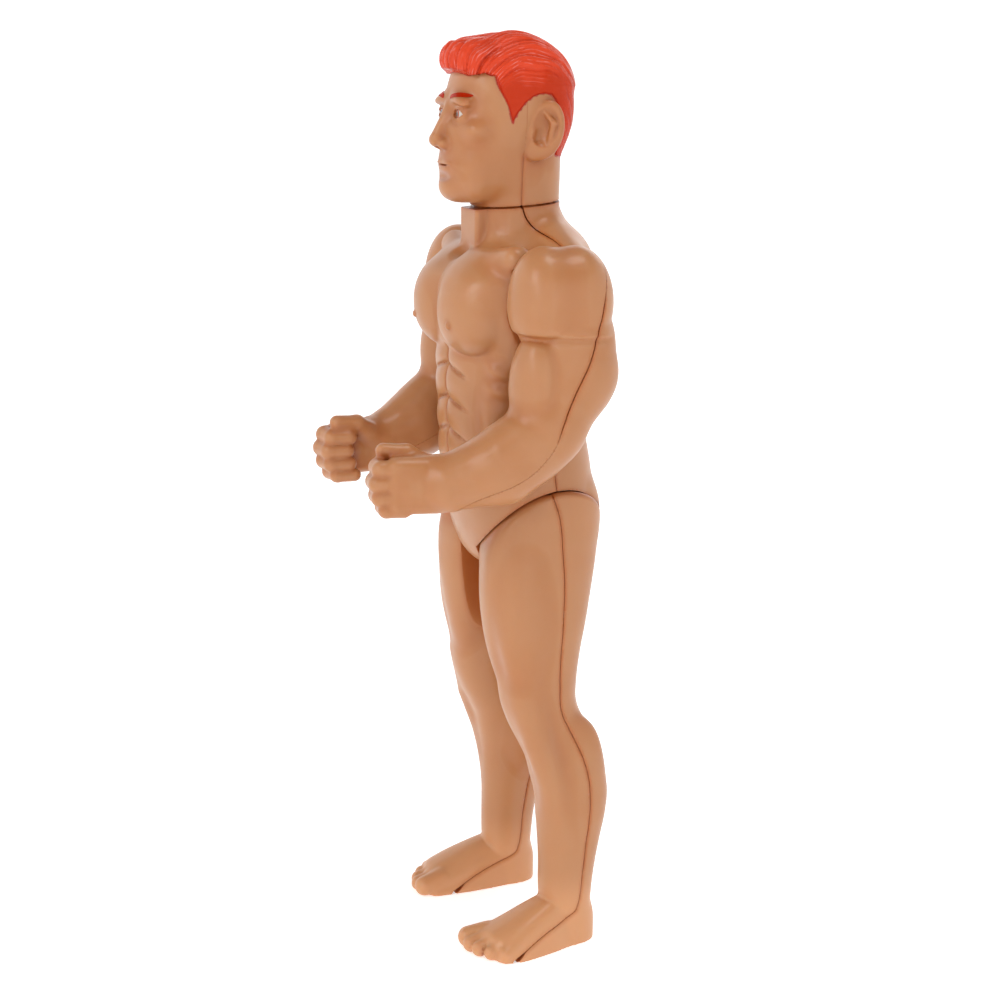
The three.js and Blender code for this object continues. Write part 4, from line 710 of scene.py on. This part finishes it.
def hair_paint():
    """Glossy orange red over moulded hair, with the fine combed lines that the mesh doesn't hold, painted shade in the
    creases between locks and painted highlights on their ridges.
    """
    t = Tree("hair_paint")
    t.set(Metallic=0.0, IOR=1.5, Subsurface_Weight=0.04, Subsurface_Radius=(1.0, 0.2, 0.1), Subsurface_Scale=0.0008, Specular_IOR_Level=0.02, Coat_Weight=0.15, Coat_Roughness=0.10)
    # painted shade: darker red in the creases between locks, brighter on their tops
    tone = t.ramp(t.attr("open"), [(0.30, HAIR_RED[0]), (0.66, HAIR_RED[1]), (0.94, HAIR_RED[2]), (1.0, HAIR_RED[3])])
    tone = t.mix(t.range(t.noise(260, 3, 0.6), 0.35, 0.7, 0.0, 0.40), tone, (0.44, 0.026, 0.003))
    comb, show = t.attr("comb"), t.attr("ridged")
    # painted highlight: brighter, pinker red on the ridge tops of the combed locks
    tone = t.mix(t.math("MULTIPLY", show, t.range(t.attr("open"), 0.62, 0.99, 0.12, 0.85)), tone, (0.66, 0.062, 0.024))
    wander = t.math("MULTIPLY", t.math("SUBTRACT", t.noise(170, 2, 0.4), 0.5), 0.9)
    line = t.math("ABSOLUTE", t.math("SINE", t.math("MULTIPLY", t.math("ADD", comb, wander), math.pi / 0.36)))
    # painted highlights: pink glints along the combed lines, standing in for reflections of the lamps
    painted_glints = t.math("MULTIPLY", t.range(line, 0.86, 1.0, 0.0, 1.0), t.math("MULTIPLY", show, t.range(t.noise(420, 2, 0.5), 0.50, 0.66, 0.0, 0.75)))
    tone = t.mix(painted_glints, tone, (0.72, 0.22, 0.19))
    t.link(tone, t.b.inputs["Base Color"])
    t.link(t.range(t.noise(900, 3, 0.6), 0.3, 0.7, 0.20, 0.36), t.b.inputs["Roughness"])
    fine = t.bump(t.math("MULTIPLY", line, show), 0.55, 0.00010)
    t.link(t.bump(t.noise(1500, 3, 0.6), 0.12, 0.00008, fine), t.b.inputs["Normal"])
    return t.m

def eye_paint():
    """White with an iris and a pupil, each a disc about the middle of its eye."""
    t = Tree("eye_paint")
    t.set(Metallic=0.0, IOR=1.5, Specular_IOR_Level=0.5, Coat_Weight=0.5, Coat_Roughness=0.1)
    sep = t.t.nodes.new("ShaderNodeSeparateXYZ"); t.link(t.coord, sep.inputs[0])
    dx = t.math("SUBTRACT", t.math("ABSOLUTE", sep.outputs["X"]), EYE[0] * MM)
    dz = t.math("SUBTRACT", sep.outputs["Z"], (EYE[2] + 0.08) * MM)
    r = t.math("MULTIPLY", t.math("SQRT", t.math("ADD", t.math("MULTIPLY", dx, dx), t.math("MULTIPLY", dz, dz))), 1000.0)
    wobble = t.math("ADD", r, t.math("MULTIPLY", t.noise(2200, 2, 0.5), 0.06))
    # painted shade: the white darkens from the iris out towards the lids
    tone = t.ramp(t.range(wobble, 0.0, 2.0, 0.0, 1.0), [(0.0, (0.030, 0.010, 0.006)), (0.20, (0.035, 0.011, 0.006)), (0.215, (0.30, 0.06, 0.02)), (0.37, (0.36, 0.075, 0.024)), (0.385, (0.10, 0.02, 0.01)),
                                                          (0.41, (0.10, 0.02, 0.01)), (0.425, (0.60, 0.53, 0.48)), (1.0, (0.52, 0.43, 0.37))])
    t.link(tone, t.b.inputs["Base Color"])
    t.link(t.range(t.noise(1800, 2, 0.5), 0.3, 0.7, 0.16, 0.26), t.b.inputs["Roughness"])
    return t.m

def steel(name="steel", tint=(0.56, 0.57, 0.58), rough=(0.22, 0.38)):
    t = Tree(name)
    t.set(Metallic=1.0)
    mp = t.t.nodes.new("ShaderNodeMapping"); t.link(t.coord, mp.inputs["Vector"]); mp.inputs["Scale"].default_value = (1, 1, 14)
    brush = t.noise(900, 3, 0.6, mp.outputs["Vector"])
    spot = t.noise(300, 4, 0.65)
    tone = t.mix(t.range(spot, 0.4, 0.75, 0.0, 0.5), tint, tuple(0.62 * c for c in tint))
    t.link(tone, t.b.inputs["Base Color"])
    t.link(t.range(brush, 0.3, 0.7, *rough), t.b.inputs["Roughness"])
    t.link(t.bump(brush, 0.12, 0.00004), t.b.inputs["Normal"])
    return t.m

def brass():
    t = Tree("brass")
    t.set(Metallic=1.0)
    spot = t.noise(260, 4, 0.65)
    tone = t.mix(t.range(spot, 0.4, 0.8, 0.0, 0.6), (0.76, 0.53, 0.20), (0.46, 0.28, 0.09))
    t.link(tone, t.b.inputs["Base Color"])
    t.link(t.range(t.noise(1400, 3, 0.6), 0.3, 0.7, 0.22, 0.40), t.b.inputs["Roughness"])
    t.link(t.bump(t.noise(3000, 2, 0.6), 0.10, 0.00003), t.b.inputs["Normal"])
    return t.m

def nylon():
    t = Tree("white_nylon")
    t.set(Metallic=0.0, IOR=1.5, Subsurface_Weight=0.25, Subsurface_Radius=(1.0, 0.8, 0.6), Subsurface_Scale=0.0015, Specular_IOR_Level=0.4)
    tone = t.mix(t.range(t.noise(120, 3, 0.5), 0.35, 0.7, 0.0, 0.5), (0.80, 0.77, 0.69), (0.72, 0.67, 0.56))
    t.link(tone, t.b.inputs["Base Color"])
    t.link(t.range(t.noise(1600, 3, 0.6), 0.3, 0.7, 0.38, 0.52), t.b.inputs["Roughness"])
    t.link(t.bump(t.noise(4200, 2, 0.5), 0.12, 0.00005), t.b.inputs["Normal"])
    return t.m

SKIN, PAINT, EYES, STEEL, BRASS, NYLON = skin_plastic(), hair_paint(), eye_paint(), steel(), brass(), nylon()
SPRING = steel("spring_steel", (0.24, 0.28, 0.36), (0.25, 0.42))
BY_SLOT = {"steel": STEEL, "brass": BRASS, "white_nylon": NYLON, "spring_steel": SPRING, "skin_plastic": SKIN, "hair_paint": PAINT}
for part in frame["record"]["subparts"]:
    ob = frame["nodes"][part["node"]]
    mat = BY_SLOT[part["material_slot"]]
    if not ob.material_slots: ob.data.materials.append(mat)
    for s in ob.material_slots: s.material = mat

# ------------------------------------------------------------------ the pieces
LINE = 0.045   # half the width of a closed parting line
def halves(skin, cuts, hollow, seam, lo, hi, h, gap=LINE):
    out = []
    for side in (1, -1):
        def cut(p, side=side):
            c = cuts(p)
            sk = skin(p)
            c = np.maximum(c, -hollow(p, sk))
            g = gap(p) if callable(gap) else F32(gap)
            return np.maximum(c, side * seam(p) + g)
        out.append(surface(skin, cut, lo, hi, h))
    return out

def groove(skin, seam, depth=0.13, width=0.20):
    """The skin dips towards its parting line, as the rounded edges of two moulded halves do."""
    return lambda p: skin(p) + F32(depth) * np.exp(-(seam(p) / F32(width)) ** 2)

# painted shade: how open each point is, for shade painted into creases, and how near it lies to a parting line or cut
# edge, for shade painted along them
def painted_shade(skin, seam, cuts, verts, quads):
    return {"open": shading(skin, verts, quads), "line": np.maximum(0.9 * near(verts, seam, 0.42), 0.7 * near(verts, cuts, 0.40))}

def torso_gap(p):
    return F32(LINE) + F32(0.08) * step(116.5, 120.0, p[2])
g_torso = groove(torso, TORSO_SEAM)
for (v, q), name, node in zip(halves(g_torso, torso_cuts, torso_hollow, TORSO_SEAM, (-18.5, -14, 62), (18.5, 17.5, 126), 0.29, torso_gap), ("trunk_front", "trunk_back"), ("torso_front_shell", "torso_back_shell")):
    make(name, v, q, "trunk", SKIN, (node,), painted_shade(torso, TORSO_SEAM, torso_cuts, v, q))

def leg_gap(p):
    return F32(LINE) + F32(0.34) * step(1.9, 0.5, p[2])
g_leg = groove(leg, LEG_SEAM)
for (v, q), half in zip(halves(g_leg, leg_cuts, leg_hollow, LEG_SEAM, (2.5, -15, -1), (22.5, 17, 80), 0.33, leg_gap), ("front", "back")):
    o = painted_shade(leg, LEG_SEAM, leg_cuts, v, q)
    # painted shade in the crease where the top of the leg meets the trunk
    o["line"] = np.maximum(o["line"], 0.7 * near(v, hip_disc, 0.40) * step(67.5, 69.5, v[:, 2]))
    # painted light: paler colour on the open parts of the feet
    o["pale"] = step(14.0, 6.0, v[:, 2]) * step(0.35, 0.90, o["open"])
    for side in ("left", "right"):
        make(f"leg_{side}_{half}", v, q, f"leg_{side}", SKIN, (f"leg_{side}_{half}_shell",), o, side == "right")

# the arm's line is open at the shoulder and closes into a raised flash line along the forearm
def arm_gap(p):
    return F32(0.085) - F32(0.065) * step(92.0, 88.0, p[2]) - F32(0.05) * step(109.5, 111.5, p[2])
def g_arm(p):
    s = ARM_SEAM(p)
    return arm(p) + F32(0.13) * np.exp(-(s / F32(0.20)) ** 2) * step(88.0, 92.0, p[2]) * step(111.0, 108.8, p[2]) - F32(0.07) * np.exp(-(s / F32(0.30)) ** 2) * step(90.5, 87.5, p[2])
for (v, q), half in zip(halves(g_arm, arm_cuts, arm_hollow, ARM_SEAM, (9.0, -29, 74), (28.5, 13.5, 119), 0.30, arm_gap), ("front", "back")):
    o = painted_shade(arm, ARM_SEAM, arm_cuts, v, q)
    # the arm's painted seam shade fades along the forearm and at the shoulder
    o["line"] = o["line"] * (0.15 + 0.85 * step(88.0, 93.0, v[:, 2])) * (0.25 + 0.75 * step(111.5, 108.8, v[:, 2]))
    for side in ("left", "right"):
        make(f"arm_{side}_{half}", v, q, "arms", SKIN, (f"arm_{side}_{half}_shell",), o, side == "right")

def head_gap(p):
    return F32(0.02) - F32(0.12) * step(130.6, 131.8, p[2])
def g_head(p):
    return head(p) + F32(0.10) * np.exp(-(HEAD_SEAM(p) / F32(0.20)) ** 2) * step(131.6, 130.4, p[2])
for (v, q), name, node in zip(halves(g_head, head_cuts, lambda p, s: head_hollow(p), HEAD_SEAM, (-13.5, -14.5, 122), (13.5, 13.5, 151.5), 0.22, head_gap), ("head_front", "head_back"), ("head_front_shell", "head_back_shell")):
    o = painted_shade(head, HEAD_SEAM, head_cuts, v, q)
    # the head's painted seam shade shows only below the ear
    o["line"] = o["line"] * (0.80 * step(131.6, 130.2, v[:, 2]))
    o["paint"] = paint_edge(v)
    make(name, v, q, "head", SKIN, (node,), o)
v, q = surface(hair, lambda p: F32(-0.25) - bare_head(p), (-13.0, -14.5, 126), (13.0, 14.5, 152), 0.17)
p = tuple(v[:, k].astype(F32) for k in range(3))
make("hair", v, q, "head", PAINT, (), {"open": shading(hair, v, q), "comb": combed(p), "ridged": ridged(p)})

def eye(p):
    m = (abs(p[0]), p[1], p[2])
    return eyeball(m)
def eye_back(p):
    m = (abs(p[0]), p[1], p[2])
    return np.maximum(p[1] + F32(7.2), eye_opening(m) - F32(0.35))
v, q = surface(eye, eye_back, (-6, -9.8, 134.8), (6, -6.8, 139.2), 0.12)
make("eyes", v, q, "head", EYES, (), None, sharp=40)

def brow_skin(p): return head(p) - F32(0.10)
def brow_shape(p):
    m = (abs(p[0]), p[1], p[2])
    u = (m[0] - F32(3.6)) / F32(2.05)
    mid = F32(139.75) + F32(0.28) * (1 - u * u) + F32(0.12) * u
    e = abs(p[2] - mid) - F32(0.34) * np.sqrt(np.clip(1.04 - 0.55 * (u + 0.25) ** 2, 0.02, 1)).astype(F32)
    return np.maximum(np.maximum(e * F32(0.9), (abs(u) - 1) * F32(2.05)), np.maximum(p[1] + F32(5), -(head(p) + F32(0.10))))
v, q = surface(brow_skin, brow_shape, (-6.4, -12, 138), (6.4, -4, 141.5), 0.12)
make("brows", v, q, "head", PAINT, (), {"open": np.full(len(v), 0.9)}, sharp=40)

# the winding knob, with finger flutes and a dished end
def knob(p):
    x, y, z = p
    dx, dz = x, z - F32(95.5)
    r = np.sqrt(dx * dx + dz * dz)
    a = np.arctan2(dz, dx)
    rim = F32(5.38) - F32(0.30) * (0.5 - 0.5 * np.cos(14 * a)).astype(F32) ** 0.8 * step(3.5, 5.0, r)
    d = smax((r - rim) * F32(0.95), abs(y - F32(16.35)) - F32(2.05), 0.55)
    d = smax(d, -ell(p, (0, 19.6, 95.5), (3.5, 1.9, 3.5)), 0.35)
    return smin(d, np.maximum(r - F32(1.3), abs(y - F32(17.0)) - F32(0.95)), 0.3)
v, q = surface(knob, lambda p: -np.maximum(np.sqrt(p[0] ** 2 + (p[2] - F32(95.5)) ** 2) - F32(1.15), p[1] - F32(16.6)), (-6.3, 13.6, 89.2), (6.3, 19.2, 101.8), 0.2)
make("knob", v, q, "winder", NYLON, ("wind_knob",), None, sharp=45)

# ------------------------------------------------------------------ studio
def studio():
    sc = bpy.context.scene
    w = bpy.data.worlds.new("studio"); sc.world = w; w.use_nodes = True
    bg = w.node_tree.nodes["Background"]
    bg.inputs[0].default_value = (1.0, 1.0, 1.0, 1); bg.inputs[1].default_value = 0.24
    sc.view_settings.view_transform = "Standard"
    sc.view_settings.look = "None"
    # a round pale floor that curves up into a low wall, far away on every side
    rows = [(0.0, 0.0), (0.6, 0.0), (2.2, 0.0)] + [(2.2 + 1.2 * math.sin(a), 1.2 - 1.2 * math.cos(a)) for a in np.radians(np.arange(10, 91, 10))] + [(3.4, 2.6)]
    n = 96
    vs = [(r * math.cos(2 * math.pi * i / n), r * math.sin(2 * math.pi * i / n), z) for r, z in rows[1:] for i in range(n)] + [(0, 0, 0)]
    fs = [(k * n + i, k * n + (i + 1) % n, (k + 1) * n + (i + 1) % n, (k + 1) * n + i) for k in range(len(rows) - 2) for i in range(n)]
    fs = [f[::-1] for f in fs] + [(len(vs) - 1, i, (i + 1) % n) for i in range(n)]
    me = bpy.data.meshes.new("floor"); me.from_pydata(vs, [], fs); me.update()
    for p in me.polygons: p.use_smooth = True
    t = Tree("floor_white")
    t.set(Base_Color=(0.90, 0.90, 0.90, 1), Roughness=0.8, Specular_IOR_Level=0.1, Emission_Color=(1, 1, 1, 1), Emission_Strength=0.50)
    me.materials.append(t.m)
    floor = bpy.data.objects.new("floor", me); sc.collection.objects.link(floor)
    def area(name, at, target, size, power, tint=(1, 1, 1)):
        l = bpy.data.lights.new(name, "AREA"); l.shape = "SQUARE"; l.size = size; l.energy = power; l.color = tint
        o = bpy.data.objects.new(name, l); sc.collection.objects.link(o)
        o.location = at
        o.rotation_euler = (Vector(target) - Vector(at)).to_track_quat("-Z", "Y").to_euler()
        return o
    mid = (0, 0, 0.085)
    area("key", (0.20, -0.66, 0.62), mid, 0.30, 1.40)
    area("fill", (0.80, 0.10, 0.30), mid, 0.50, 0.34)
    area("top", (0.12, 0.10, 0.90), mid, 0.32, 1.75)
    area("back", (-0.55, 0.60, 0.45), mid, 0.5, 0.62)
    area("low", (0.45, -0.70, 0.42), (0, 0, 0.012), 0.25, 0.42)

def camera():
    az, pitch, dist, height, focal, roll = math.radians(68.01), math.radians(13.42), 317.28, 149.52, 1961.26, math.radians(0.3)
    back = Vector((math.sin(az), -math.cos(az), 0))
    at = Vector((back.x * dist, back.y * dist + SHIFT_Y, height)) * MM
    fwd = -back * math.cos(pitch) + Vector((0, 0, -math.sin(pitch)))
    right = Vector((math.cos(az), math.sin(az), 0))
    up = right.cross(fwd)
    r2 = right * math.cos(roll) + up * math.sin(roll)
    u2 = up * math.cos(roll) - right * math.sin(roll)
    cam = bpy.data.cameras.new("camera"); cam.sensor_width = 36; cam.lens = focal * 36 / 1000
    cam.clip_start, cam.clip_end = 0.01, 20
    ob = bpy.data.objects.new("camera", cam); bpy.context.scene.collection.objects.link(ob)
    m = Matrix((r2, u2, -fwd)).transposed().to_4x4(); m.translation = at
    ob.matrix_world = m
    bpy.context.scene.camera = ob

studio()
camera()
